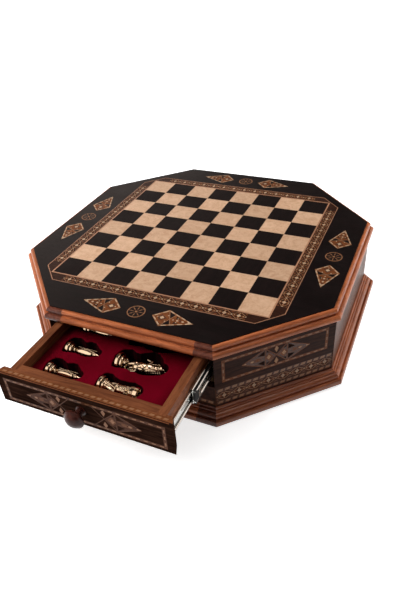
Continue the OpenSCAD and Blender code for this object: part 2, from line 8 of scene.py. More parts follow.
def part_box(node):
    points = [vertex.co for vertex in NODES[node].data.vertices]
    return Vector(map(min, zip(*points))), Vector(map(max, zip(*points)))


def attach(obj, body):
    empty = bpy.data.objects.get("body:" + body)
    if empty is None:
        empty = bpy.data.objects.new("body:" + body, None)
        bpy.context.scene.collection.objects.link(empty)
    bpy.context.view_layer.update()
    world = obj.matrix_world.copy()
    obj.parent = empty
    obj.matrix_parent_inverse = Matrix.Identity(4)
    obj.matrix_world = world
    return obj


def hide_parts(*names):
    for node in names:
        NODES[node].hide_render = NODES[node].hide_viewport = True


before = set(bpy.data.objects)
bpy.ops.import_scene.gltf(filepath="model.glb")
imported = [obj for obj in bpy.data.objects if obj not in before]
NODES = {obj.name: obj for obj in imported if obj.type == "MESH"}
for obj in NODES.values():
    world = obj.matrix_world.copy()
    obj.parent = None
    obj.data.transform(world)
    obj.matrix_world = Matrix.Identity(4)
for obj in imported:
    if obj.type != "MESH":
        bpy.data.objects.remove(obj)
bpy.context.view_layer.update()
MM = 0.001
SCENE = bpy.context.scene


def box_mm(node):
    low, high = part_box(node)
    return low / MM, high / MM


# Sizes that the inlay, the velvet and the wood take from the frame, in millimetres.
FRONT_VELVET, BACK_VELVET = box_mm("front_velvet"), box_mm("back_velvet")
OPEN_BY = -FRONT_VELVET[0].y - BACK_VELVET[1].y
TOP_Z = box_mm("top_panel")[1].z
CASE_FACE = box_mm("side_panels")[1].x
CORNER_FACE = (CASE_FACE + box_mm("rail_strips")[1].x) / math.sqrt(2)
FIELD_HALF = box_mm("light_squares")[1].x
SQUARE = round(FIELD_HALF / 4, 2)
EIGHTH = math.pi / 4

# ---------------------------------------------------------------- camera
CAMERA_AT = (0.35559, -0.74458, 0.59551)
CAMERA_TURN = (53.738, 3.432, 23.620)
FOCAL_PX = 543.57
IMAGE_H = 601
SENSOR_MM = 36.0
cam_data = bpy.data.cameras.new("camera")
cam_data.sensor_fit = "AUTO"
cam_data.sensor_width = SENSOR_MM
cam_data.lens = FOCAL_PX / IMAGE_H * SENSOR_MM
cam_data.clip_end = 50.0
camera = bpy.data.objects.new("camera", cam_data)
camera.location = CAMERA_AT
camera.rotation_euler = [math.radians(a) for a in CAMERA_TURN]
SCENE.collection.objects.link(camera)
SCENE.camera = camera


# ---------------------------------------------------------------- node helpers
class Tree:
    """Short way of writing a node tree."""

    def __init__(self, tree):
        self.tree = tree

    def put(self, node, ins):
        """Gives each named socket of a node its link or its plain value."""
        for key, value in ins.items():
            socket = node.inputs[key]
            if isinstance(value, bpy.types.NodeSocket):
                self.tree.links.new(value, socket)
            else:
                socket.default_value = value
        return node

    def add(self, kind, ins=None, **props):
        node = self.tree.nodes.new(kind)
        for key, value in props.items():
            setattr(node, key, value)
        return self.put(node, ins or {})

    def group(self, group, ins=None):
        return self.add("ShaderNodeGroup", ins, node_tree=group).outputs

    def math(self, op, a, b=0.0, c=0.0):
        return self.add("ShaderNodeMath", {0: a, 1: b, 2: c}, operation=op).outputs[0]

    def vmath(self, op, a, b=(0, 0, 0)):
        return self.add("ShaderNodeVectorMath", {0: a, 1: b}, operation=op).outputs[0]

    def stretch(self, vector, factors):
        return self.vmath("MULTIPLY", vector, factors)

    def mix(self, fac, a, b, blend="MIX"):
        node = self.add("ShaderNodeMix", data_type="RGBA", blend_type=blend)
        a, b = [v if isinstance(v, bpy.types.NodeSocket) else (*v[:3], 1) for v in (a, b)]
        return self.put(node, {0: fac, 6: a, 7: b}).outputs[2]

    def ramp(self, fac, low, high, to_low=0.0, to_high=1.0):
        ins = {0: fac, 1: low, 2: high, 3: to_low, 4: to_high}
        return self.add("ShaderNodeMapRange", ins).outputs[0]

    def noise(self, vector, scale, detail=3.0, rough=0.55, warp=0.0):
        ins = {"Vector": vector, "Scale": scale, "Detail": detail, "Roughness": rough, "Distortion": warp}
        return self.add("ShaderNodeTexNoise", ins)

    def place(self):
        return self.add("ShaderNodeTexCoord").outputs["Object"]

    def split(self, vector):
        return self.add("ShaderNodeSeparateXYZ", {0: vector}).outputs

    def join(self, x=0.0, y=0.0, z=0.0):
        return self.add("ShaderNodeCombineXYZ", {0: x, 1: y, 2: z}).outputs[0]

    def toned(self, color, tone):
        """A colour made lighter or darker as a whole."""
        return self.mix(1.0, color, self.join(tone, tone, tone), "MULTIPLY")

    def bump(self, strength, distance, height):
        ins = {"Strength": strength, "Distance": distance, "Height": height}
        return self.add("ShaderNodeBump", ins).outputs[0]


def new_group(name, inputs, outputs):
    group = bpy.data.node_groups.new(name, "ShaderNodeTree")
    for key, kind, default in inputs:
        socket = group.interface.new_socket(key, in_out="INPUT", socket_type=kind)
        if default is not None:
            socket.default_value = default
    for key, kind in outputs:
        group.interface.new_socket(key, in_out="OUTPUT", socket_type=kind)
    tree = Tree(group)
    return group, tree, tree.add("NodeGroupInput").outputs, tree.add("NodeGroupOutput")


VEC, VAL = "NodeSocketVector", "NodeSocketFloat"
# Steps through the sheet of wood from one of the eight sides to the next, so that no two look alike.
SIDE_STEPS = (0.37, 1.31)
# For fibres and pores the coordinates are stretched far more across the grain than along it.
FIBRE_STRETCH, PORE_STRETCH = (12.0, 260.0, 260.0), (60.0, 900.0, 900.0)


def make_ring_coords():
    """Coordinates that run along whichever of the eight sides a point lies on."""
    group, t, _, out = new_group("ring_coords", [], [("Vector", VEC)])
    pos = t.place()
    x, y = t.split(pos)[:2]
    angle = t.math("ARCTAN2", y, x)
    side = t.math("ROUND", t.math("DIVIDE", angle, EIGHTH))
    turn = t.math("MULTIPLY", side, -EIGHTH)
    ins = {"Vector": pos, "Angle": turn}
    turned = t.add("ShaderNodeVectorRotate", ins, rotation_type="Z_AXIS").outputs[0]
    shift = t.join(*[t.math("MULTIPLY", side, step) for step in SIDE_STEPS])
    rx, ry, rz = t.split(t.vmath("ADD", turned, shift))
    t.put(out, {"Vector": t.join(ry, rx, rz)})
    return group


def make_grain():
    """Wood figure along X: growth bands, fine fibres, dark pores and broad clouding, as masks."""
    ins = [("Vector", VEC, None), ("Band scale", VAL, 28.0)]
    outs = [(key, VAL) for key in ("Bands", "Fibre", "Pores", "Broad")]
    group, t, i, out = new_group("wood_grain", ins, outs)
    warp = t.noise(t.stretch(i["Vector"], (2.2, 9.0, 9.0)), 1.0, 3.0, 0.5).outputs[1]
    offset = t.add("ShaderNodeVectorMath", {0: warp, 3: 0.055}, operation="SCALE").outputs[0]
    bent = t.vmath("ADD", i["Vector"], t.stretch(offset, (0.2, 1.0, 1.0)))
    banded = t.stretch(bent, (0.7, 8.0, 8.0))
    ins = {"Vector": banded, "Scale": i["Band scale"], "Detail": 2.0, "Roughness": 0.6}
    bands = t.add("ShaderNodeTexNoise", ins).outputs[0]
    fibre = t.noise(t.stretch(bent, FIBRE_STRETCH), 3.0, 2.0, 0.6).outputs[0]
    pore = t.noise(t.stretch(bent, PORE_STRETCH), 1.6, 1.0, 0.5).outputs[0]
    broad = t.noise(t.stretch(i["Vector"], (3.0, 12.0, 12.0)), 2.0, 2.0, 0.5).outputs[0]
    t.put(out, {
        "Bands": t.ramp(bands, 0.34, 0.66),
        "Fibre": t.ramp(fibre, 0.3, 0.7),
        "Pores": t.ramp(pore, 0.6, 0.72),
        "Broad": t.ramp(broad, 0.3, 0.7),
    })
    return group


def make_handling():
    """Slight unevenness of a polished surface, as a mask of smudges."""
    group, t, i, out = new_group("handling", [("Vector", VEC, None)], [("Smudge", VAL)])
    smudge = t.noise(i["Vector"], 14.0, 3.0, 0.6).outputs[0]
    t.put(out, {"Smudge": t.ramp(smudge, 0.35, 0.7)})
    return group


def make_squares():
    """A random number for each chess square, and its own offset for the figure of the wood."""
    group, t, i, out = new_group("per_square", [("Vector", VEC, None)], [("Random", VAL), ("Vector", VEC)])
    per_metre = 1 / (SQUARE * MM)
    cell = t.vmath("FLOOR", t.stretch(i["Vector"], (per_metre, per_metre, 0)))
    white = t.add("ShaderNodeTexWhiteNoise", {"Vector": cell}, noise_dimensions="3D").outputs
    scattered = t.stretch(white["Color"], (3.0, 3.0, 3.0))
    t.put(out, {"Random": white["Value"], "Vector": t.vmath("ADD", i["Vector"], scattered)})
    return group


RING, GRAIN, HANDLING, PER_SQUARE = make_ring_coords(), make_grain(), make_handling(), make_squares()


def start_material(name):
    material = bpy.data.materials.new(name)
    material.use_nodes = True
    material.node_tree.nodes.clear()
    tree = Tree(material.node_tree)
    shader = tree.add("ShaderNodeBsdfPrincipled")
    tree.add("ShaderNodeOutputMaterial", {0: shader.outputs[0]})
    return material, tree, shader


# Half the tray between the drawer's side walls, in metres: beyond it the walls' grain runs the other way.
TRAY_INSIDE = FRONT_VELVET[1].x * MM
# Clouding of the wood, and how much rougher its smudges and pores are.
WOOD_TONES, WOOD_SMUDGE, PORE_ROUGH = (0.86, 1.12), (-0.05, 0.07), 0.15
LACQUER_ROUGH, LACQUER_IOR = 0.13, 1.48


def grain_vector(tree, along):
    """Vector along the grain: "ring" for the eight sides, "tray" for the drawer's walls, "x" or "y"."""
    if along == "ring":
        return tree.group(RING)["Vector"]
    x, y, z = tree.split(tree.place())
    along_x, along_y = [tree.join(a, b, z) for a, b in ((x, y), (y, x))]
    if along == "tray":
        beside = tree.math("GREATER_THAN", tree.math("ABSOLUTE", x), TRAY_INSIDE)
        return tree.mix(beside, along_x, along_y)
    return along_x if along == "x" else along_y


def wood(name, dark, light, pore, along, rough=0.35, coat=0.35, bands=28.0, fibre=0.35, bump=0.25, shine=0.5):
    """Lacquered wood with its grain along the piece: its dark and light growth, and its pores."""
    material, t, shader = start_material(name)
    vector = grain_vector(t, along)
    grain = t.group(GRAIN, {"Vector": vector, "Band scale": bands})
    smudge = t.group(HANDLING, {"Vector": vector})["Smudge"]
    base = t.mix(grain["Bands"], dark, light)
    streak = t.mix(t.math("MULTIPLY", grain["Fibre"], fibre), base, dark)
    toned = t.toned(streak, t.ramp(grain["Broad"], 0.0, 1.0, *WOOD_TONES))
    final = t.mix(t.math("MULTIPLY", grain["Pores"], 0.6), toned, pore)
    gloss = t.ramp(smudge, 0.0, 1.0, *[rough + change for change in WOOD_SMUDGE])
    roughness = t.math("ADD", gloss, t.math("MULTIPLY", grain["Pores"], PORE_ROUGH))
    height = t.math("SUBTRACT", t.math("MULTIPLY", grain["Fibre"], 0.5), grain["Pores"])
    t.put(shader, {
        "Base Color": final,
        "Roughness": roughness,
        "Normal": t.bump(bump, 0.0004, height),
        "Specular IOR Level": shine,
        "IOR": LACQUER_IOR,
        "Coat Weight": coat,
        "Coat Roughness": LACQUER_ROUGH,
    })
    return material


def burl():
    """Pale burl of the light squares, each cut from its own place in the sheet."""
    material, t, shader = start_material("maple_burl")
    pos = t.place()
    cell = t.group(PER_SQUARE, {"Vector": pos})
    vector = cell["Vector"]
    cloud = t.noise(vector, 60.0, 4.0, 0.62, 1.4).outputs[0]
    curl = t.noise(vector, 190.0, 3.0, 0.6, 2.2).outputs[0]
    eyes = t.add("ShaderNodeTexVoronoi", {"Vector": vector, "Scale": 120.0}).outputs["Distance"]
    base = t.mix(t.ramp(cloud, 0.32, 0.68), (0.49, 0.265, 0.145), (0.66, 0.410, 0.255))
    curled = t.mix(t.ramp(curl, 0.38, 0.72, 0.0, 0.5), base, (0.72, 0.49, 0.33))
    eyed = t.mix(t.ramp(eyes, 0.05, 0.22, 0.45, 0.0), curled, (0.42, 0.19, 0.09))
    final = t.toned(eyed, t.ramp(cell["Random"], 0.0, 1.0, 0.90, 1.08))
    smudge = t.group(HANDLING, {"Vector": pos})["Smudge"]
    t.put(shader, {
        "Base Color": final,
        "Roughness": t.ramp(smudge, 0, 1, 0.32, 0.42),
        "Normal": t.bump(0.12, 0.0002, curl),
        "Coat Weight": 0.3,
        "Coat Roughness": 0.2,
    })
    return material


def metal(name, color, rough, spread=0.08, dark=None):
    """Metal with slight unevenness; dark, if given, is mixed in where its surface is hollow."""
    material, t, shader = start_material(name)
    pos = t.place()
    smudge = t.group(HANDLING, {"Vector": pos})["Smudge"]
    fine = t.noise(t.stretch(pos, (300.0, 40.0, 300.0)), 3.0, 2.0).outputs[0]
    tint = t.mix(t.ramp(fine, 0.3, 0.7, 0.0, 0.35), color, [c * 0.72 for c in color])
    if dark:
        hollow = t.add("ShaderNodeAmbientOcclusion", {"Distance": 0.003}, samples=6, only_local=True)
        tint = t.mix(t.ramp(hollow.outputs["AO"], 0.35, 0.85), dark, tint)
    t.put(shader, {
        "Base Color": tint,
        "Roughness": t.ramp(smudge, 0, 1, rough, rough + spread),
        "Normal": t.bump(0.08, 0.0001, fine),
        "Metallic": 1.0,
    })
    return material


def plastic(name, color, rough):
    material, t, shader = start_material(name)
    fine = t.noise(t.place(), 1400.0, 2.0).outputs[0]
    t.put(shader, {
        "Base Color": t.mix(fine, color, [c * 1.6 for c in color]),
        "Normal": t.bump(0.2, 0.0001, fine),
        "Roughness": rough,
        "Specular IOR Level": 0.15,
    })
    return material


# The colour turns from black to red between these depths below the top of the velvet.
PILE_FROM, PILE_TO = [(FRONT_VELVET[1].z - depth) * MM for depth in (1.4, 0.6)]


def velvet():
    """Red pile on top, with painted shade where the cornice and the drawer's walls hang over it; the cut
    walls and floors of the nests are black.
    """
    material, t, shader = start_material("velvet")
    pos = t.place()
    z = t.split(pos)[2]
    brushed = t.noise(t.stretch(pos, (9.0, 5.0, 9.0)), 2.4, 3.0, 0.6).outputs[0]
    pile = t.noise(pos, 1500.0, 2.0, 0.7).outputs[0]
    red = t.mix(t.ramp(brushed, 0.3, 0.7), (0.100, 0.0008, 0.0052), (0.172, 0.0015, 0.0105))
    piled = t.mix(t.ramp(pile, 0.3, 0.75, 0.0, 0.45), red, (0.06, 0.0006, 0.004))
    edge = t.math("ADD", z, t.math("MULTIPLY", pile, 0.0007))
    top = t.ramp(edge, PILE_FROM, PILE_TO)
    # Painted shade: the pile is mixed towards near black where other parts hang over it, such as the cornice
    # and the drawer's walls.
    cover = t.add("ShaderNodeAmbientOcclusion", {"Distance": 0.045}, samples=8).outputs["AO"]
    shaded = t.mix(t.ramp(cover, 0.25, 0.85, 0.85, 0.0), piled, (0.012, 0.0002, 0.0012))
    t.put(shader, {
        "Base Color": t.mix(top, (0.0018, 0.0009, 0.0010), shaded),
        "Normal": t.bump(0.5, 0.0004, pile),
        "Roughness": 0.95,
        "Specular IOR Level": 0.04,
        "Sheen Weight": 0.20,
        "Sheen Roughness": 0.4,
        "Sheen Tint": (0.8, 0.01, 0.05, 1),
    })
    return material


LIGHT_WALNUT = wood(
    "light_walnut", (0.32, 0.084, 0.029), (0.60, 0.176, 0.063), (0.13, 0.032, 0.014), "ring",
    coat=0.22, shine=0.2)
# Painted shade: a darker copy of the light walnut for the base mouldings, standing in for the shade that
# falls on them.
SHADED_BASE_WALNUT = wood(
    "base_walnut_shaded", (0.24, 0.062, 0.023), (0.46, 0.136, 0.053), (0.11, 0.028, 0.012), "ring",
    coat=0.30, shine=0.3)
ROSEWOOD = wood(
    "rosewood", (0.082, 0.021, 0.012), (0.182, 0.051, 0.028), (0.03, 0.008, 0.006), "ring",
    coat=0.15, bands=40.0, shine=0.25)
SIDE_WALNUT = wood(
    "side_walnut", (0.070, 0.027, 0.015), (0.136, 0.057, 0.032), (0.035, 0.013, 0.008), "ring",
    coat=0.0, shine=0.08)
WALL_WALNUT = wood(
    "wall_walnut", (0.115, 0.034, 0.0135), (0.245, 0.080, 0.032), (0.045, 0.014, 0.006), "tray",
    coat=0.0, shine=0.1)
BLACKWOOD = wood(
    "blackwood", (0.0032, 0.0018, 0.0018), (0.0070, 0.0036, 0.0036), (0.002, 0.001, 0.001), "x",
    rough=0.34, coat=0.0, fibre=0.2, bump=0.1, shine=0.22)
BLACKWOOD_RING = wood(
    "blackwood_ring", (0.019, 0.0070, 0.0047), (0.053, 0.0200, 0.0125), (0.007, 0.003, 0.002), "ring",
    rough=0.45, coat=0.0, bump=0.1, shine=0.055)
FRONT_BLACK = wood(
    "front_blackwood", (0.014, 0.0062, 0.0042), (0.044, 0.0190, 0.0120), (0.004, 0.002, 0.002), "x",
    rough=0.5, coat=0.0, bump=0.1, shine=0.0)
DARK_SQUARE = wood(
    "dark_square_wood", (0.0032, 0.0016, 0.0016), (0.0072, 0.0034, 0.0033), (0.002, 0.001, 0.001), "y",
    rough=0.45, coat=0.0, bump=0.1, shine=0.13)
PLAIN_BEECH = wood(
    "plain_beech", (0.30, 0.17, 0.095), (0.44, 0.28, 0.17), (0.16, 0.08, 0.045), "y",
    coat=0.0, rough=0.6)
KNOB_WOOD = wood(
    "knob_wood", (0.030, 0.0065, 0.0042), (0.076, 0.0170, 0.0105), (0.011, 0.003, 0.003), "y",
    rough=0.28, coat=0.08, shine=0.14)
LIGHT_INLAY = wood(
    "light_inlay", (0.22, 0.090, 0.038), (0.35, 0.165, 0.078), (0.12, 0.05, 0.025), "x",
    coat=0.1, bands=90.0, shine=0.3)
FRAME_INLAY = wood(
    "frame_inlay", (0.070, 0.024, 0.011), (0.135, 0.050, 0.024), (0.04, 0.015, 0.007), "x",
    coat=0.0, bands=90.0, shine=0.06)
LINE_WOOD = wood(
    "line_wood", (0.36, 0.160, 0.085), (0.50, 0.250, 0.140), (0.25, 0.1, 0.05), "x",
    bands=90.0)
BROWN_INLAY = wood(
    "brown_inlay", (0.055, 0.018, 0.009), (0.115, 0.040, 0.018), (0.02, 0.008, 0.005), "x",
    coat=0.1, bands=60.0, shine=0.2)
MOSAIC_GROUND = wood(
    "mosaic_ground", (0.018, 0.006, 0.004), (0.045, 0.017, 0.009), (0.01, 0.004, 0.003), "x",
    coat=0.05, bands=90.0, shine=0.1)
AMBER_INLAY = wood(
    "amber_inlay", (0.12, 0.034, 0.011), (0.225, 0.074, 0.026), (0.06, 0.017, 0.007), "x",
    coat=0.0, bands=90.0, shine=0.1)
SAND_INLAY = wood(
    "sand_inlay", (0.23, 0.100, 0.050), (0.38, 0.190, 0.102), (0.12, 0.05, 0.025), "x",
    coat=0.0, bands=120.0, shine=0.1)
UMBER_INLAY = wood(
    "umber_inlay", (0.105, 0.036, 0.015), (0.190, 0.072, 0.032), (0.05, 0.02, 0.01), "x",
    coat=0.0, bands=90.0, shine=0.06)
BARK_INLAY = wood(
    "bark_inlay", (0.045, 0.014, 0.006), (0.095, 0.032, 0.014), (0.02, 0.008, 0.005), "x",
    coat=0.0, bands=60.0, shine=0.05)
CREAM_INLAY = wood(
    "cream_inlay", (0.32, 0.160, 0.082), (0.50, 0.285, 0.160), (0.2, 0.1, 0.05), "x",
    coat=0.0, bands=120.0, shine=0.1)
PEARL_INLAY = wood(
    "pearl_inlay", (0.40, 0.245, 0.140), (0.60, 0.420, 0.270), (0.3, 0.17, 0.09), "x",
    bands=120.0)
MAPLE = burl()
STEEL = metal("zinc_steel", (0.72, 0.72, 0.69), 0.20)
BRASS = metal("figure_brass", (0.92, 0.74, 0.52), 0.12, 0.05, (0.008, 0.005, 0.003))
BLACK_PLASTIC = plastic("black_plastic", (0.012, 0.012, 0.012), 0.45)
VELVET = velvet()

FINISH = {
    LIGHT_WALNUT: ["cornice_sticks", "cornice_corners"],
    SHADED_BASE_WALNUT: ["base_sticks", "base_corners"],
    ROSEWOOD: ["base_ends", "cornice_ends"],
    SIDE_WALNUT: ["side_panels"],
    WALL_WALNUT: ["front_walls", "back_walls"],
    BLACKWOOD: ["top_panel"],
    DARK_SQUARE: ["dark_squares"],
    BLACKWOOD_RING: ["front_rail", "back_rail", "corner_panels"],
    FRONT_BLACK: ["front_board", "back_board"],
    PLAIN_BEECH: [
        "base_board", "runner_walls", "compartment_floor", "middle_wall", "top_board", "front_bottom",
        "back_bottom"],
    KNOB_WOOD: ["front_knob", "back_knob"],
    LIGHT_INLAY: ["top_inlays"],
    FRAME_INLAY: ["front_inlay", "back_inlay"],
    LINE_WOOD: ["field_lines"],
    BROWN_INLAY: ["kite_hearts"],
    MOSAIC_GROUND: ["mosaic_border"],
    BARK_INLAY: ["corner_bands", "rail_strips"],
    AMBER_INLAY: ["front_strip", "back_strip", "corner_inlays"],
    PEARL_INLAY: ["border_lights", "band_lights"],
    MAPLE: ["light_squares"],
    STEEL: [
        "outer_members", "front_inner_members", "front_middle_members", "back_inner_members",
        "back_middle_members", "runner_screws", "front_slide_screws", "back_slide_screws",
        "front_knob_screw", "back_knob_screw"],
    BLACK_PLASTIC: ["front_retainers", "back_retainers", "front_bumpers", "back_bumpers"],
    VELVET: ["front_velvet", "back_velvet"],
    BRASS: ["pawn_near", "pawn_far", "pawn_third", "rook", "knight"],
}
for material, names in FINISH.items():
    for node_name in names:
        obj = NODES[node_name]
        if obj.data.materials:
            for index in range(len(obj.material_slots)):
                obj.material_slots[index].material = material
        else:
            obj.data.materials.append(material)


# ---------------------------------------------------------------- copies in rows
def make_rows():
    """Copies of a motif along a line, and the whole line turned about Z."""
    group = bpy.data.node_groups.new("rows", "GeometryNodeTree")
    sockets = {"Geometry": "Geometry", "Count": "Int", "Step": "Vector", "Turns": "Int", "First": "Float",
               "Turn": "Float", "Material": "Material"}
    ids = {}
    for key, kind in sockets.items():
        ids[key] = group.interface.new_socket(key, in_out="INPUT", socket_type="NodeSocket" + kind).identifier
    group.interface.new_socket("Geometry", in_out="OUTPUT", socket_type="NodeSocketGeometry")
    t = Tree(group)
    i = t.add("NodeGroupInput").outputs
    index = t.add("GeometryNodeInputIndex").outputs[0]
    middle = t.math("MULTIPLY", t.math("SUBTRACT", i["Count"], 1), 0.5)
    place = t.math("SUBTRACT", index, middle)
    along = t.add("ShaderNodeVectorMath", {0: i["Step"], 3: place}, operation="SCALE").outputs[0]
    line = t.add("GeometryNodePoints", {"Count": i["Count"], "Position": along})
    row = t.add("GeometryNodeInstanceOnPoints", {"Points": line.outputs[0], "Instance": i["Geometry"]})
    ring = t.add("GeometryNodePoints", {"Count": i["Turns"]})
    spin = t.join(z=t.math("MULTIPLY_ADD", index, i["Turn"], i["First"]))
    ins = {"Points": ring.outputs[0], "Instance": row.outputs[0], "Rotation": spin}
    turned = t.add("GeometryNodeInstanceOnPoints", ins)
    real = t.add("GeometryNodeRealizeInstances", {"Geometry": turned.outputs[0]})
    done = t.add("GeometryNodeSetMaterial", {"Geometry": real.outputs[0], "Material": i["Material"]})
    t.add("NodeGroupOutput", {0: done.outputs[0]})
    return group, ids


ROWS, ROW_IDS = make_rows()


def lay(name, body, slot_name, material, mesh, count=1, step=(0, 0, 0), turns=1, first=0, turn=90):
    """One piece made of copies of a mesh, riding on a body. Angles are in degrees, the step in metres."""
    source = bpy.data.objects.new(name + "_motif", mesh)
    SCENE.collection.objects.link(source)
    modifier = source.modifiers.new("rows", "NODES")
    modifier.node_group = ROWS
    values = {"Count": count, "Step": step, "Turns": turns, "First": math.radians(first),
              "Turn": math.radians(turn), "Material": material}
    for key, value in values.items():
        modifier[ROW_IDS[key]] = value
    SCENE.view_layers[0].update()
    depsgraph = bpy.context.evaluated_depsgraph_get()
    baked = bpy.data.meshes.new_from_object(source.evaluated_get(depsgraph))
    bpy.data.objects.remove(source)
    baked.name = name
    piece = bpy.data.objects.new(name, baked)
    SCENE.collection.objects.link(piece)
    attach(piece, body)
    return piece


# ---------------------------------------------------------------- inlaid ornament
# Flat outlines in millimetres. Each layer of a motif is cut from one wood.
WOODS = {
    "amber": (AMBER_INLAY, "mosaic"),
    "brown": (BROWN_INLAY, "brown_inlay"),
    "black": (BLACKWOOD, "blackwood"),
    "tan": (LIGHT_INLAY, "light_inlay"),
    "pearl": (PEARL_INLAY, "light_inlay"),
    "cream": (CREAM_INLAY, "light_inlay"),
    "sand": (SAND_INLAY, "light_inlay"),
    "umber": (UMBER_INLAY, "brown_inlay"),
    "bark": (BARK_INLAY, "brown_inlay"),
    "soot": (FRONT_BLACK, "blackwood"),
    "walnut": (WALL_WALNUT, "walnut"),
}
# How deep a plate starts below its face, and how far each layer of plates stands proud of it.
PLATE_DEPTH, PLATE_LIFT, LAYER_LIFT = 0.03, 0.02, 0.012


def diamond(x, y, a, b):
    """Lozenge of half sizes a and b about a point."""
    return [(x - a, y), (x, y - b), (x + a, y), (x, y + b)]


def slab(x0, x1, y0, y1, lean=0.0):
    """A bar, or a dash whose upper edge is shifted by lean."""
    return [(x0, y0), (x1, y0), (x1 + lean, y1), (x0 + lean, y1)]


def stroke(p, q, w):
    """Straight bar of width w from p to q."""
    dx, dy = q[0] - p[0], q[1] - p[1]
    length = math.hypot(dx, dy)
    nx, ny = -dy / length * w / 2, dx / length * w / 2
    return [(p[0] + nx, p[1] + ny), (p[0] - nx, p[1] - ny), (q[0] - nx, q[1] - ny), (q[0] + nx, q[1] + ny)]


def dashes(p, q, count, share, w):
    """Short strokes spread evenly over a line; share is how much of it they cover."""
    out = []
    for k in range(count):
        a, b = (k + 0.5 - share / 2) / count, (k + 0.5 + share / 2) / count
        out.append(stroke(*[(p[0] + (q[0] - p[0]) * s, p[1] + (q[1] - p[1]) * s) for s in (a, b)], w))
    return out


def mirrored(polys, axis=0):
    """Outlines and their mirror images, left to right or, with axis 1, bottom to top."""
    sign = (-1, 1) if axis == 0 else (1, -1)
    return polys + [[(x * sign[0], y * sign[1]) for x, y in poly] for poly in polys]


def oval(x, y, a, b, n=10):
    return [(x + a * math.cos(2 * math.pi * k / n), y + b * math.sin(2 * math.pi * k / n)) for k in range(n)]


def plates(name, polys, lift, place):
    """Thin plates standing a little proud of the face they lie on."""
    verts, faces = [], []
    for poly in polys:
        area = sum(p[0] * q[1] - q[0] * p[1] for p, q in zip(poly, poly[1:] + poly[:1]))
        loop = poly if area > 0 else poly[::-1]
        n, base = len(loop), len(verts)
        verts += [place @ Vector((x, y, -PLATE_DEPTH)) * MM for x, y in loop]
        verts += [place @ Vector((x, y, lift)) * MM for x, y in loop]
        faces += [[base + n + k for k in range(n)], [base + n - 1 - k for k in range(n)]]
        faces += [[base + k, base + (k + 1) % n, base + n + (k + 1) % n, base + n + k] for k in range(n)]
    mesh = bpy.data.meshes.new(name)
    mesh.from_pydata(verts, [], faces)
    return mesh


def on_top(y):
    """Outlines drawn beside the edge of the top that faces +Y."""
    return Matrix.Translation((0, y, TOP_Z))


def on_wall(distance, z):
    """Outlines drawn on the upright face that faces +Y at a distance."""
    turn = Matrix(((-1, 0, 0, 0), (0, 0, 1, 0), (0, 1, 0, 0), (0, 0, 0, 1)))
    return Matrix.Translation((0, distance, z)) @ turn


def ornament(name, body, place, layers, **rows):
    """One piece for each layer of a motif, laid out in rows."""
    for level, (wood_name, polys) in enumerate(layers):
        material, slot_name = WOODS[wood_name]
        mesh = plates(name, polys, PLATE_LIFT + LAYER_LIFT * level, place)
        lay("%s_%s_%d" % (name, wood_name, level), body, slot_name, material, mesh, **rows)


def top_kite():
    """Cells, dashes and lines of one kite of the top and of its mirror image."""
    tip, wide, far, low = (25.4, 0), (45.3, 18.9), (90, 0), (45.3, -18.9)
    middle, inset = 50, 0.925
    cell = [(28.6, 0), (45.0, -15.6), (51.9, 0), (45.0, 15.6)]
    outer = [(54.4, 0), (59.6, -10.6), (84, 0), (59.6, 10.6)]
    dark = [(53.1, 1.3), (47.4, 14.9), (57.6, 10.9)]
    wedge = [(61.6, 3.0), (61, 8.4), (69.5, 4.6)]
    crossing = [stroke((45.3, -17.4), (59.2, 12.6), 1.0)]
    light = [diamond(41.3, 0, 3.6, 3.4), diamond(65.0, 0, 2.1, 2.0), diamond(73.2, 0, 2.3, 2.0)]
    light += [[(81.5, 0), (80, -1.7), (88.6, 0), (80, 1.7)]]
    light += [diamond(34.6, 0, 1.3, 1.2), diamond(58.6, 0, 1.2, 1.3)]
    light += mirrored([diamond(48.6, 6.6, 1.2, 1.3), diamond(64.6, 4.4, 1.3, 0.9)], 1)
    band = []
    for p, q, count in ((tip, wide, 2), (wide, far, 4), (far, low, 4), (low, tip, 2)):
        p, q = [(middle + (v[0] - middle) * inset, v[1] * inset) for v in (p, q)]
        band += dashes(p, q, count, 0.62, 1.7)
    bud = [(33.8, 0), (37.0, -3.4), (38.2, -7.6), (41.6, -5.2)]
    bud += [(49.4, 0), (41.6, 5.2), (38.2, 7.6), (37.0, 3.4)]
    return [
        ("amber", mirrored([cell, outer])),
        ("black", mirrored(mirrored([dark], 1) + mirrored([wedge], 1))),
        ("brown", mirrored([bud, oval(69.2, 0, 1.5, 3.4), oval(77.6, 0, 1.2, 2.2)])),
        ("tan", mirrored(mirrored(crossing, 1))),
        ("pearl", mirrored(light + band)),
    ]


def rosette():
    """Eight petals and a heart on a dark round."""
    petal, petals = ((2.6, 0), (7.6, -0.75), (11.2, 0), (7.6, 0.75)), []
    for k in range(8):
        c, s = math.cos(math.radians(45 * k)), math.sin(math.radians(45 * k))
        petals.append([(x * c - y * s, x * s + y * c) for x, y in petal])
    return [("black", [oval(0, 0, 10.9, 10.9, 32)]), ("tan", petals + [oval(0, 0, 2.0, 2.0)])]


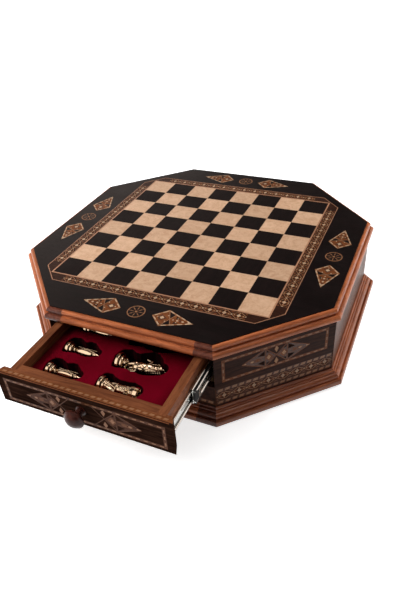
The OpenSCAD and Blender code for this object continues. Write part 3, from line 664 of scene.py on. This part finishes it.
def flower(pitch, half):
    """One unit of a mosaic band: a light heart in four petals inside a lozenge."""
    h = pitch / 2
    side = [(3.2, -1.1), (h - 3.6, -1.9), (h - 2.0, 0), (h - 3.6, 1.9), (3.2, 1.1)]
    upper = [(-1.1, 3.1), (-2.2, half - 3.0), (0, half - 1.1), (2.2, half - 3.0), (1.1, 3.1)]
    lozenge = [stroke((1.6, half - 0.9), (h - 1.4, 1.4), 1.0)]
    corner = [[(h, half - 0.6), (h - 4.6, half - 0.6), (h, 3.4)]]
    arrow = [[(h, half - 1.3), (h - 3.2, half - 1.3), (h, 4.8)]]
    star = [[(0, -3.4), (0.9, -0.9), (3.4, 0), (0.9, 0.9), (0, 3.4), (-0.9, 0.9), (-3.4, 0), (-0.9, -0.9)]]
    light = star + mirrored([[(h, -1.7), (h, 1.7), (h - 1.7, 0)]])
    light += mirrored([oval(0, half - 2.4, 0.9, 0.9, 6)], 1) + mirrored([oval(h - 4.4, 0, 0.9, 0.7, 6)])
    return [
        ("brown", mirrored(mirrored(corner), 1)),
        ("amber", mirrored([side]) + mirrored([upper], 1) + mirrored(mirrored(arrow), 1)),
        ("tan", mirrored(mirrored(lozenge), 1)),
        ("pearl", light),
    ]


def panel_kites(shift, half, two_crossings):
    """Filled cells of the kites on an upright face, moved inwards by shift.

    The kites cross on either side of the middle, or both at the middle, where their drops fall together.
    """
    tip, wide, cross = 86.6 - shift, 50.6 - shift, 33.8 - shift
    outer = [(wide + 0.9, -half + 1.6), (tip - 2.0, 0), (wide + 0.9, half - 1.6)]
    inner = [(cross + 1.4, 0), (wide - 0.8, -half + 2.4), (wide - 0.8, half - 2.4)]
    light = [diamond(71.0 - shift, 0, 3.2, 1.9), diamond(45.6 - shift, 0, 3.4, 4.0)]
    light += [[(tip - 6.4, -1.1), (tip - 0.6, 0), (tip - 6.4, 1.1)]]
    drop = [(cross, 5.0), (cross + 3.0, 11.2), (cross, half - 0.8), (cross - 3.0, 11.2)]
    surround = [diamond(45.0 - shift, 0, 6.2, 7.6), diamond(62.5 - shift, 0, 4.6, 3.0)]
    dark = [[(wide + 1.6, 4.6), (wide + 1.6, half - 3.4), (wide + 12.5, 6.4)],
            [(wide - 1.6, 9.2), (wide - 1.6, half - 3.6), (wide - 6.4, 8.0)]]
    rays = mirrored(mirrored([stroke((wide + 3.0, 3.2), (tip - 12, 1.4), 0.9)], 1))
    drops = mirrored([drop], 1)
    return [
        ("brown", mirrored([outer, inner])),
        ("black", mirrored(mirrored(dark, 1))),
        ("amber", mirrored(surround) + rays),
        ("pearl", mirrored(light + drops) if two_crossings else mirrored(light) + drops),
    ]


def frame_dashes(half, high, width):
    """Light dashes along the middle of a frame."""
    a, b = half - width / 2, high / 2 - width / 2
    across = round(2 * a / DASH_PITCH)
    out = []
    for p, q, count in (((-a, b), (a, b), across), ((a, b), (a, -b), 3),
                        ((a, -b), (-a, -b), across), ((-a, -b), (-a, b), 3)):
        out += dashes(p, q, count, 0.5, 1.5)
    return out


def in_woods(layers, swap):
    """The layers of a motif with some of its woods changed for others."""
    return [(swap.get(wood_name, wood_name), polys) for wood_name, polys in layers]


# Woods that stand in for others on the drawers' fronts, on the corner panels and in the edge strips. The
# corner panels keep lighter woods than the drawers' fronts, as painted light for faces that the lamps reach
# less.
QUIET = {"pearl": "sand", "tan": "umber", "amber": "umber", "brown": "bark", "black": "soot"}
CORNER = {"pearl": "cream", "black": "soot"}
EDGE = {"pearl": "sand"}
# Places, sizes and pitches of the ornament, in millimetres.
TOP_ROW_Y = 229.75
BORDER_Y, BORDER_HALF, BORDER_PITCH = 190.9, 8.3, 21.7
BAND_Z, BAND_HALF, BAND_PITCH = TOP_Z - 92.7, 7.6, 23.0
FRAME_Z, FRAME_HIGH, FRAME_WIDE, DASH_PITCH = TOP_Z - 48, 40, 4.6, 11.5
KITE_HALF, CORNER_SHIFT = 16.9, 33.8
CORNER_HALF, DRAWER_HALF = 82.66, 120.6
RAIL_Z, EDGE_PITCH = TOP_Z - 103.8, 10.8
# The strip of dashes lies on the upper edge of a drawer's board.
STRIP = box_mm("front_strip")[1]
STRIP_HALF, STRIP_TOP, STRIP_IN, STRIP_PITCH = STRIP.x - 4, round(STRIP.z, 3), 6.5, 9.2

for name, y, count, step, layers in (
        ("top_kites", TOP_ROW_Y, 1, 0, top_kite()),
        ("rosettes", TOP_ROW_Y, 1, 0, rosette()),
        ("border_flowers", BORDER_Y, 14, BORDER_PITCH * MM, flower(BORDER_PITCH, BORDER_HALF))):
    ornament(name, "case", on_top(y), layers, count=count, step=(step, 0, 0), turns=4)

corner_kites = in_woods(panel_kites(CORNER_SHIFT, KITE_HALF, False), CORNER)
corner_kites.append(("tan", frame_dashes(CORNER_HALF, FRAME_HIGH, FRAME_WIDE)))
ornament("corner_kites", "case", on_wall(CORNER_FACE, FRAME_Z), corner_kites, turns=4, first=45)
corner_flowers = in_woods(flower(BAND_PITCH, BAND_HALF), CORNER)
ornament("corner_flowers", "case", on_wall(CORNER_FACE, BAND_Z), corner_flowers,
         count=8, step=(BAND_PITCH * MM, 0, 0), turns=4, first=45)

edge_unit = in_woods([
    ("brown", [slab(-5.0, 5.0, -2.9, 2.9)]),
    ("tan", [slab(-3.9, 3.1, -2.1, 2.1, 1.6)]),
    ("pearl", [slab(-2.6, 1.8, -1.2, 1.2, 1.2)]),
], EDGE)
edge_step = (EDGE_PITCH * MM, 0, 0)
for name, drop in (("corner_strip_upper", 81.75), ("corner_strip_lower", 104.6)):
    ornament(name, "case", on_wall(CORNER_FACE, TOP_Z - drop), edge_unit,
             count=17, step=edge_step, turns=4, first=45)
ornament("rail_dashes", "case", on_wall(CASE_FACE, RAIL_Z), edge_unit,
         count=24, step=edge_step, turns=2, turn=180)

drawer_kites = in_woods(panel_kites(0, KITE_HALF, True), QUIET)
drawer_kites.append(("sand", frame_dashes(DRAWER_HALF, FRAME_HIGH, FRAME_WIDE)))
strip_unit = [
    ("amber", [slab(-4.4, 4.6, -1.9, 1.9)]),
    ("tan", [slab(-3.6, 2.2, -1.5, 1.5, 1.5)]),
]
strip_edge = [
    ("walnut", [slab(-STRIP_HALF, STRIP_HALF, low, high) for low, high in ((-6.5, -3.4), (4.6, 6.0))]),
]
for side, turn, shift in (("front", 180, OPEN_BY), ("back", 0, 0.0)):
    body = side + "_drawer"
    ornament(side + "_kites", body, on_wall(CASE_FACE + shift, FRAME_Z), drawer_kites, first=turn)
    place = Matrix.Translation((0, CASE_FACE + shift - STRIP_IN, STRIP_TOP))
    ornament(side + "_strip_dashes", body, place, strip_unit,
             count=27, step=(STRIP_PITCH * MM, 0, 0), first=turn)
    ornament(side + "_strip_edge", body, place, strip_edge, first=turn)


# ---------------------------------------------------------------- velvet blocks with cut nests
VELVET_TOP, VELVET_LOW = FRONT_VELVET[1].z, FRONT_VELVET[0].z + 0.1
VELVET_X = FRONT_VELVET[1].x
VELVET_Y0, VELVET_Y1 = [corner.y + OPEN_BY for corner in FRONT_VELVET]
VELVET_GRID = (212, 210)
# The pile lies this far below the top of its block, swells a little, and rolls down at the border.
PILE_DROP, PILE_SWELL, BORDER_DROP, BORDER_ROLL = 0.25, 0.12, 1.1, 1.2
# The wall of a nest starts this far out from its outline, with a slope and a raised lip around it.
NEST_START, NEST_SLOPE, LIP_HIGH, LIP_WIDE, NEST_WAVE = 0.9, 2.2, 0.5, 1.6, 0.3
# Each figure lies along X on the axis of its round base.
FIGURE_BOX = {name: box_mm(name) for name in ("pawn_near", "pawn_far", "pawn_third", "rook", "knight")}
PAWN_X, TALL_X = FIGURE_BOX["pawn_near"][0].x, FIGURE_BOX["rook"][0].x
FIRST_ROW, SECOND_ROW = [
    sum(v.y for v in FIGURE_BOX[name]) / 2 + OPEN_BY for name in ("pawn_near", "pawn_far")]
ROW_Y = [FIRST_ROW + (SECOND_ROW - FIRST_ROW) * k for k in range(4)]
# Stations of a nest along its figure: distance from the base, reach to the near and to the far side.
NEST_STATIONS = {
    "pawn": (
        (1, 12.6, 18.8), (9, 11.2, 20.0), (15, 9.8, 17.6), (20, 9.4, 14.8), (24, 10.0, 15.6),
        (30, 11.0, 18.2), (36, 11.2, 17.6), (43, 9.8, 12.6), (48, 7.0, 8.0)),
    "rook": (
        (1, 13.6, 17.6), (8, 12.2, 18.0), (15, 10.6, 13.8), (22, 10.2, 11.8), (37, 10.4, 12.0),
        (45, 11.4, 14.0), (52, 10.6, 11.4)),
    "knight": (
        (1, 15.6, 21.5), (9, 14.2, 23.5), (17, 13.4, 20.0), (24, 13.6, 19.5), (32, 15.4, 24.5),
        (41, 16.0, 29.0), (51, 15.4, 27.5), (59, 13.0, 20.0), (64, 10.0, 13.0)),
}
NEST_FLOOR = {kind: FIGURE_BOX[name][0].z - 0.5
              for kind, name in (("pawn", "pawn_near"), ("rook", "rook"), ("knight", "knight"))}
TALL_KINDS = ("rook", "knight", "knight", "rook")
# A nest's two sides run into each other over this width. Its ends are flatter than round by these factors.
SIDE_BLEND, BASE_CAP, HEAD_CAP = 8, 2.8, 1.15


def nest_distance(x, y, x0, y0, stations):
    """Distance to the edge of one nest, below zero inside it."""
    along, near, far = zip(*stations)
    spot = np.clip(x - x0, along[0], along[-1])
    side = np.clip((y - y0 + SIDE_BLEND / 2) / SIDE_BLEND, 0, 1)
    reach = np.interp(spot, along, near) * (1 - side) + np.interp(spot, along, far) * side
    end = np.maximum(np.maximum(along[0] - (x - x0), (x - x0) - along[-1]), 0)
    cap = np.where(x - x0 < along[0], BASE_CAP, HEAD_CAP)
    return np.hypot(end * cap, y - y0) - reach


def make_velvet(name, node, body, toward):
    """Crowned pile over a block, sunk into soft-edged nests."""
    nx, ny = VELVET_GRID
    xs = np.linspace(-VELVET_X, VELVET_X, nx)
    ys = np.linspace(VELVET_Y0, VELVET_Y1, ny)
    gx, gy = np.meshgrid(xs, ys, indexing="ij")
    swell = PILE_SWELL * np.sin(gx * 0.21 + 1.3 * np.sin(gy * 0.05)) * np.sin(gy * 0.17)
    border = np.minimum.reduce([gx + VELVET_X, VELVET_X - gx, gy - VELVET_Y0, VELVET_Y1 - gy])
    top = VELVET_TOP - PILE_DROP + swell - BORDER_DROP * np.exp(-border / BORDER_ROLL)
    for row, tall in zip(ROW_Y, TALL_KINDS):
        for x0, kind in ((PAWN_X, "pawn"), (TALL_X, tall)):
            wave = NEST_WAVE * np.sin(gx * 0.35 + row) * np.sin(gy * 0.31)
            d = nest_distance(gx, gy, x0, row, NEST_STATIONS[kind]) + wave
            wall = np.clip((NEST_START - d) / NEST_SLOPE, 0, 1)
            wall = wall * wall * (3 - 2 * wall)
            lip = LIP_HIGH * np.exp(-np.abs(d - NEST_START) / LIP_WIDE) * (d > NEST_START)
            top = np.minimum(top - lip, top * (1 - wall) + NEST_FLOOR[kind] * wall)
    verts = np.stack([gx, gy, top], axis=-1).reshape(-1, 3)
    index = np.arange(nx * ny).reshape(nx, ny)
    quads = np.stack([index[:-1, :-1], index[1:, :-1], index[1:, 1:], index[:-1, 1:]], axis=-1)
    quads = quads.reshape(-1, 4)
    ring = np.concatenate([index[:-1, 0], index[-1, :-1], index[:0:-1, -1], index[0, :0:-1]])
    low = verts[ring].copy()
    low[:, 2] = VELVET_LOW
    base, n = len(verts), len(ring)
    verts = np.concatenate([verts, low])
    faces = quads.tolist()
    faces += [[int(ring[k]), base + k, base + (k + 1) % n, int(ring[(k + 1) % n])] for k in range(n)]
    faces.append([base + n - 1 - k for k in range(n)])
    if toward > 0:
        verts[:, :2] *= -1
    else:
        verts[:, 1] -= OPEN_BY
    mesh = bpy.data.meshes.new(name)
    mesh.from_pydata((verts * MM).tolist(), [], faces)
    mesh.polygons.foreach_set("use_smooth", [True] * len(mesh.polygons))
    mesh.materials.append(VELVET)
    piece = bpy.data.objects.new(name, mesh)
    SCENE.collection.objects.link(piece)
    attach(piece, body)
    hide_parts(node)


make_velvet("front_velvet_pad", "front_velvet", "front_drawer", -1)
make_velvet("back_velvet_pad", "back_velvet", "back_drawer", 1)


# ---------------------------------------------------------------- metal figures
# Below this height a figure is its round foot alone, which is scaled to the foot of its plain form.
FOOT_EDGE = 3


class Figure:
    """A figure built standing, in millimetres, from turned forms, limbs and balls."""

    def __init__(self):
        self.bm = bmesh.new()

    def lathe(self, profile, shape=None, around=72, steps=5):
        """Turned form; shape(angle, z, r) changes its radius."""
        rows = []
        for (r0, z0), (r1, z1) in zip(profile, profile[1:]):
            rows += [(r0 + (r1 - r0) * k / steps, z0 + (z1 - z0) * k / steps) for k in range(steps)]
        rows.append(profile[-1])
        grid = []
        for r, z in rows:
            line = []
            for k in range(around):
                a = 2 * math.pi * k / around
                rr = max(shape(a, z, r) if shape else r, 0.01)
                line.append(self.bm.verts.new((rr * math.cos(a), rr * math.sin(a), z)))
            grid.append(line)
        for low, high in zip(grid, grid[1:]):
            for k in range(around):
                n = (k + 1) % around
                self.bm.faces.new((low[k], low[n], high[n], high[k]))
        self.bm.faces.new(grid[0][::-1])
        self.bm.faces.new(grid[-1])

    def ball(self, p, r, scale=(1, 1, 1)):
        matrix = Matrix.Translation(p) @ Matrix.Diagonal((*scale, 1))
        bmesh.ops.create_icosphere(self.bm, subdivisions=3, radius=r, matrix=matrix)

    def rod(self, p, q, r0, r1):
        p, q = Vector(p), Vector(q)
        turn = (q - p).to_track_quat("Z", "Y").to_matrix().to_4x4()
        matrix = Matrix.Translation((p + q) / 2) @ turn
        bmesh.ops.create_cone(
            self.bm, cap_ends=True, segments=16, radius1=r0, radius2=r1, depth=(q - p).length, matrix=matrix)

    def limb(self, points, radii):
        for p, q, r0, r1 in zip(points, points[1:], radii, radii[1:]):
            self.rod(p, q, r0, r1)
        for p, r in zip(points, radii):
            self.ball(p, r * 1.03)

    def block(self, p, size, turn):
        place = Matrix.Translation(p) @ Matrix.Rotation(math.radians(turn), 4, "Z")
        bmesh.ops.create_cube(self.bm, size=1.0, matrix=place @ Matrix.Diagonal((*size, 1)))

    def leaf(self, p, normal, length, width, thick):
        """Long oval plate along Z, its face turned towards a direction in plan."""
        turn = Matrix.Rotation(math.atan2(normal[1], normal[0]), 4, "Z")
        matrix = Matrix.Translation(p) @ turn @ Matrix.Diagonal((thick / 2, width / 2, length / 2, 1))
        bmesh.ops.create_icosphere(self.bm, subdivisions=4, radius=1.0, matrix=matrix)

    def finish(self, name, node, voxel=0.42):
        """Fused into one skin, laid on its side in the place and size of its plain form."""
        bmesh.ops.recalc_face_normals(self.bm, faces=self.bm.faces)
        mesh = bpy.data.meshes.new(name)
        self.bm.to_mesh(mesh)
        self.bm.free()
        source = bpy.data.objects.new(name + "_source", mesh)
        SCENE.collection.objects.link(source)
        remesh = source.modifiers.new("skin", "REMESH")
        remesh.mode, remesh.voxel_size, remesh.use_smooth_shade = "VOXEL", voxel, True
        soften = source.modifiers.new("soften", "SMOOTH")
        soften.factor, soften.iterations = 0.5, 3
        SCENE.view_layers[0].update()
        skin = bpy.data.meshes.new_from_object(source.evaluated_get(bpy.context.evaluated_depsgraph_get()))
        bpy.data.objects.remove(source)
        low, high = FIGURE_BOX[node]
        long = (high.x - low.x) / max(v.co.z for v in skin.vertices)
        foot_radius = max(v.co.x for v in skin.vertices if v.co.z < FOOT_EDGE)
        wide = (high.z - low.z) / 2 / foot_radius
        spot = Matrix.Translation((low.x, (low.y + high.y) / 2, (low.z + high.z) / 2))
        turn = Matrix.Rotation(math.radians(90), 4, "Y")
        skin.transform(Matrix.Scale(MM, 4) @ spot @ turn @ Matrix.Diagonal((wide, wide, long, 1)))
        skin.name = name
        skin.polygons.foreach_set("use_smooth", [True] * len(skin.polygons))
        skin.materials.append(BRASS)
        return skin


def foot(figure, r, waist):
    """Ringed round base, drawn in above its second ring to a share of its radius."""
    rings = ((0.97, 0), (1, 0.5), (1, 4.8), (0.96, 5.5), (0.72, 5.8), (0.71, 6.6), (0.82, 7.0), (0.83, 7.6),
             (0.80, 10.2), (0.70, 11.0), (waist + 0.06, 11.6), (waist, 13.4))
    figure.lathe([(r * share, z) for share, z in rings], steps=2)


def pawn_skin(name, node):
    """Slim guardsman behind a long smooth shield, with a spear and a peaked helmet."""
    f = Figure()
    foot(f, 12.0, 0.30)

    def folds(a, z, r):
        return r + 0.35 * math.cos(7 * a + 0.06 * z) * min(1, max(0, (34 - z) / 10))

    coat = [(3.4, 11), (3.8, 15), (5.4, 21), (5.4, 27), (4.4, 31), (5.0, 36), (4.8, 40), (2.4, 43), (2.2, 45)]
    f.lathe(coat, folds, 90)
    f.leaf((-3.6, -4.4, 33.0), (-0.62, -0.78), 28.0, 9.8, 3.4)
    f.leaf((0.6, -6.4, 31.0), (-0.25, -0.97), 15.0, 4.4, 2.4)
    f.limb([(-4.6, -0.4, 22), (-6.6, 0.8, 30), (-7.2, 0.6, 38), (-5.4, 0.2, 46), (-4.4, -0.6, 52)],
           [0.6, 0.75, 0.8, 0.7, 0.5])
    f.limb([(0.5, 5.4, 39), (-1.8, 6.6, 33), (-4.6, 3.6, 30)], [1.7, 1.4, 1.1])
    f.rod((-2.6, 6.4, 15), (-3.2, 5.6, 51), 0.55, 0.5)
    f.ball((-0.6, 0, 46.8), 3.5, (1, 0.92, 1.12))
    f.lathe([(4.0, 47.6), (4.5, 48.2), (4.0, 49), (3.4, 52), (2.0, 55), (0.9, 57.2), (0.7, 59.6)], around=48)
    return f.finish(name, node)


def rook_skin(name, node):
    """Battlemented tower on a twisted column with courses of stone."""
    f = Figure()
    foot(f, 13.5, 0.58)
    wall_low, course, joint_depth = 33, 3.0, 0.7

    def twist(a, z, r):
        return r + 0.95 * math.cos(6 * a - 0.32 * z)

    def courses(a, z, r):
        level = int((z - wall_low) / course)
        joint = abs(math.sin(4.5 * a + (level % 2) * math.pi / 2)) < 0.2
        return r - (joint_depth if joint or ((z - wall_low) % course) < 0.7 else 0.0)

    def flutes(a, z, r):
        return r + (0.5 * math.cos(12 * a) if z < 56 else 0)

    f.lathe([(8.0, 12), (7.4, 15), (7.0, 28), (7.4, 31)], twist, 96, 10)
    f.lathe([(8.4, 13), (9.2, 14), (8.4, 15)], around=60)
    f.lathe([(7.8, 29.6), (9.2, 30.6), (9.2, 32), (7.8, 33)], around=60)
    f.lathe([(7.8, 32.5), (8.2, 48)], courses, 108, 40)
    crown = [(7.2, 47), (8.8, 48.2), (8.8, 49.6), (7.2, 50.6), (7.6, 52)]
    crown += [(9.6, 56), (9.9, 57.5), (9.9, 64), (7.0, 64), (7.0, 60)]
    f.lathe(crown, flutes, 96, 4)
    for k in range(6):
        turn = 60 * k + 30
        a = math.radians(turn)
        for r, z, size in ((8.5, 66.4, (3.0, 6.2, 7.0)), (9.9, 60.5, (1.2, 2.2, 4.2))):
            f.block((r * math.cos(a), r * math.sin(a), z), size, turn)
    return f.finish(name, node)


def knight_skin(name, node):
    """Rearing horse on a round plinth, with a flowing mane, a looped tail, a saddle cloth and a shield."""
    f = Figure()
    foot(f, 16, 0.44)

    def rocks(a, z, r):
        return r + 0.7 * math.cos(5 * a)

    def fringe(a, z, r):
        return r + 0.4 * math.cos(16 * a)

    f.lathe([(7.0, 11.5), (8.6, 13), (8.4, 15.2), (7.4, 16.4)], rocks, 60)
    for s in (-1, 1):
        f.limb([(s * 3.4, 4.4, 15), (s * 4.2, -2.6, 21), (s * 4.4, -0.6, 25), (s * 4.2, 1, 32)],
               [1.7, 1.9, 2.6, 4.3])
        f.ball((s * 3.4, 5.4, 15.4), 2.2, (1, 1.3, 0.6))
        f.limb([(s * 3.8, 5.5, 51), (s * 4.4, 13.2, 54.4), (s * 4.4, 14.2, 47.6), (s * 4.4, 15.4, 45)],
               [3.1, 1.9, 1.3, 1.5])
        f.limb([(s * 1.9, 6.0, 73), (s * 2.3, 5.0, 79.4)], [1.3, 0.4])
        f.ball((s * 3.3, 9.6, 70.4), 0.9)
    f.limb([(0, -1.5, 34), (0, 0.6, 43), (0, 2.6, 52)], [7.7, 6.5, 7.0])
    f.limb([(0, 3.2, 54), (0, 4.2, 63), (0, 7.4, 71)], [6.3, 4.7, 3.9])
    f.limb([(0, 7.4, 71), (0, 13.4, 66)], [4.1, 2.5])
    f.lathe([(7.0, 38.5), (7.9, 39.6), (8.0, 45.5), (7.0, 46.6)], fringe, 96, 6)
    for k in range(7):
        z = 54 + 3.4 * k
        y = -3.4 + 0.95 * k
        for s in (-1, 0, 1):
            f.limb([(s * 1.8, y + 1.5, z + 2), (s * 3.2, y - 2.2, z - 1.0), (s * 3.6, y - 1.8, z - 4.2)],
                   [1.5, 1.25, 0.4])
    f.limb([(0.3, -6.6, 37), (0.6, -11.4, 33), (0.8, -13.4, 26), (0.6, -11.6, 18), (0.3, -7.6, 14.6)],
           [2.0, 1.9, 1.7, 1.5, 1.1])
    f.limb([(0.9, -7.4, 35), (1.2, -9.4, 27), (1.0, -8.6, 20)], [0.9, 1.0, 0.5])
    f.limb([(-3.8, 12, 67.5), (-6.6, 6, 60), (-7.4, 1.5, 50)], [0.6, 0.6, 0.6])
    f.leaf((-7.0, -1.6, 43.0), (-0.96, -0.28), 15.0, 10.5, 4.0)
    f.leaf((-8.6, -2.0, 43.0), (-0.96, -0.28), 6.0, 4.4, 2.6)
    for k in range(6):
        a = math.radians(60 * k)
        f.ball((-7.6 - 0.3 * math.cos(a), -2.0 + 4.6 * math.cos(a), 43.0 + 6.6 * math.sin(a)), 1.0)
    for k in range(4):
        y, z = 0.9 * k, 4 * k
        f.limb([(-5.0, -4.6 + y, 60 + z), (-6.6, -8.4 + y, 57 + z), (-5.4, -10.2 + 1.2 * k, 52.5 + z)],
               [1.7, 1.4, 0.5])
    return f.finish(name, node, 0.45)


def edge_bars(name, node, body, rails):
    """Bright rolled edges along the members of a slide, on both sides of the drawer.

    rails: distance in from the outer face, height above the middle, half size, and start and end as shares
    of the length.
    """
    low, high = box_mm(node)
    middle = (low.z + high.z) / 2
    shape = ((0.15, 1), (1, 0.15), (1, -0.15), (0.15, -1), (-0.5, -1), (-0.7, -0.5), (-0.7, 0.5), (-0.5, 1))
    verts, faces = [], []
    for inset, rise, half, start, end in rails:
        section = [(x * half, z * half) for x, z in shape][::-1]
        for side in (-1, 1):
            base, n = len(verts), len(section)
            loop = section if side > 0 else section[::-1]
            for share in (start, end):
                y = low.y + (high.y - low.y) * share
                verts += [Vector((side * (high.x - inset + x), y, middle + rise + z)) * MM for x, z in loop]
            faces += [[base + k for k in range(n)][::-1], [base + n + k for k in range(n)]]
            faces += [[base + k, base + (k + 1) % n, base + n + (k + 1) % n, base + n + k] for k in range(n)]
    mesh = bpy.data.meshes.new(name)
    mesh.from_pydata(verts, [], faces)
    lay(name, body, "steel", STEEL, mesh)


for side in ("front", "back"):
    edge_bars(side + "_middle_edges", side + "_middle_members", side + "_slide",
              [(4.4, 12.0, 0.9, 0.0, 1.0), (0.3, 9.0, 0.9, 0.02, 0.98), (1.4, -9.0, 1.15, 0.08, 0.92)])
    edge_bars(side + "_inner_edges", side + "_inner_members", side + "_drawer",
              [(1.0, 8.6, 1.15, 0.0, 1.0), (1.0, -8.6, 0.9, 0.0, 1.0)])

for node, body, make_skin, name in (
        ("pawn_near", "near_pawn", pawn_skin, "near_guardsman"),
        ("pawn_far", "far_pawn", pawn_skin, "far_guardsman"),
        ("pawn_third", "front_drawer", pawn_skin, "third_guardsman"),
        ("rook", "rook", rook_skin, "tower"),
        ("knight", "knight", knight_skin, "horse")):
    figure = bpy.data.objects.new(name, make_skin(name, node))
    SCENE.collection.objects.link(figure)
    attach(figure, body)
    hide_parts(node)

# ---------------------------------------------------------------- floor and light
FLOOR_HALF, FLOOR_Z = 6, -0.0005
WHITE = (1, 1, 1, 1)
floor_mesh = bpy.data.meshes.new("floor")
corners = [(x * FLOOR_HALF, y * FLOOR_HALF, 0) for x, y in ((-1, -1), (1, -1), (1, 1), (-1, 1))]
floor_mesh.from_pydata(corners, [], [(0, 1, 2, 3)])
floor = bpy.data.objects.new("floor", floor_mesh)
floor.location.z = FLOOR_Z
SCENE.collection.objects.link(floor)
floor_material, ft, floor_shader = start_material("floor")
floor_noise = ft.noise(ft.place(), 6.0).outputs[0]
floor_color = ft.mix(floor_noise, (0.86, 0.86, 0.86), (0.88, 0.88, 0.88))
# The camera and reflections see the floor turn into the white backdrop away from the box.
reach = ft.add("ShaderNodeVectorMath", {0: ft.place()}, operation="LENGTH").outputs[1]
backdrop = ft.ramp(reach, 0.34, 0.70, 0.72, 1.0)
rays = ft.add("ShaderNodeLightPath").outputs
mirrored_rays = ft.math("MAXIMUM", rays["Is Glossy Ray"], rays["Is Transmission Ray"])
seen = ft.math("MULTIPLY", ft.math("MAXIMUM", rays["Is Camera Ray"], mirrored_rays), backdrop)
ft.put(floor_shader, {
    "Base Color": floor_color,
    "Roughness": 0.9,
    "Specular IOR Level": 0.1,
    "Emission Color": WHITE,
    "Emission Strength": seen,
})
floor_mesh.materials.append(floor_material)

world = bpy.data.worlds.new("studio")
world.use_nodes = True
SCENE.world = world
wt = Tree(world.node_tree)
world.node_tree.nodes.clear()
soft = wt.add("ShaderNodeBackground", {"Color": WHITE, "Strength": 0.16})
white = wt.add("ShaderNodeBackground", {"Color": WHITE, "Strength": 1.0})
path = wt.add("ShaderNodeLightPath").outputs
sky = wt.add("ShaderNodeTexCoord").outputs["Generated"]


def softbox(azimuth, elevation, inner, outer, strength):
    """Round soft patch of the studio that only reflections see; angles in degrees."""
    az, el = math.radians(azimuth), math.radians(elevation)
    middle = (math.cos(el) * math.cos(az), math.cos(el) * math.sin(az), math.sin(el))
    near = wt.add("ShaderNodeVectorMath", {0: sky, 1: middle}, operation="DOT_PRODUCT").outputs[1]
    return wt.ramp(near, math.cos(math.radians(outer)), math.cos(math.radians(inner)), 0.0, strength)


# Azimuth, elevation, inner and outer angle and strength of each patch, over a faint even glow.
SOFTBOXES = ((238, 36, 26, 44, 1.25), (44, 16, 14, 34, 1.4), (45, 74, 5, 17, 6.0), (138, 2, 14, 36, 1.1))
glow = 0.03
for patch in SOFTBOXES:
    glow = wt.math("ADD", glow, softbox(*patch))
# The white backdrop stands low all round, and reflections see it too.
glow = wt.math("MAXIMUM", glow, wt.ramp(wt.split(sky)[2], 0.22, 0.04, 0.0, 1.0))
reflected = wt.add("ShaderNodeBackground", {"Color": (1, 0.86, 0.78, 1), "Strength": glow})
mirror_ray = path["Is Glossy Ray"]
around = wt.add("ShaderNodeMixShader", {0: mirror_ray, 1: soft.outputs[0], 2: reflected.outputs[0]})
direct_ray = wt.math("MAXIMUM", path["Is Camera Ray"], path["Is Transmission Ray"])
blend = wt.add("ShaderNodeMixShader", {0: direct_ray, 1: around.outputs[0], 2: white.outputs[0]})
wt.add("ShaderNodeOutputWorld", {0: blend.outputs[0]})


def area(name, at, target, size, power):
    """Lamp with a broad flat face, which reflections don't show."""
    data = bpy.data.lights.new(name, "AREA")
    data.shape = "RECTANGLE"
    data.size, data.size_y = size
    data.energy = power
    light = bpy.data.objects.new(name, data)
    light.location = at
    light.rotation_euler = (Vector(target) - Vector(at)).to_track_quat("-Z", "Y").to_euler()
    light.visible_glossy = False
    SCENE.collection.objects.link(light)


# Place, aim and size in metres, and power in watts.
area("key", (-1.36, -0.92, 1.47), (0, 0, 0.05), (0.9, 0.8), 41)
area("right", (1.30, 1.60, 0.90), (0.1, 0, 0.05), (0.9, 0.8), 37)
area("over", (-0.3, 0.2, 2.1), (0, 0, 0.05), (1.2, 1.0), 5)

SCENE.view_settings.view_transform = "Standard"
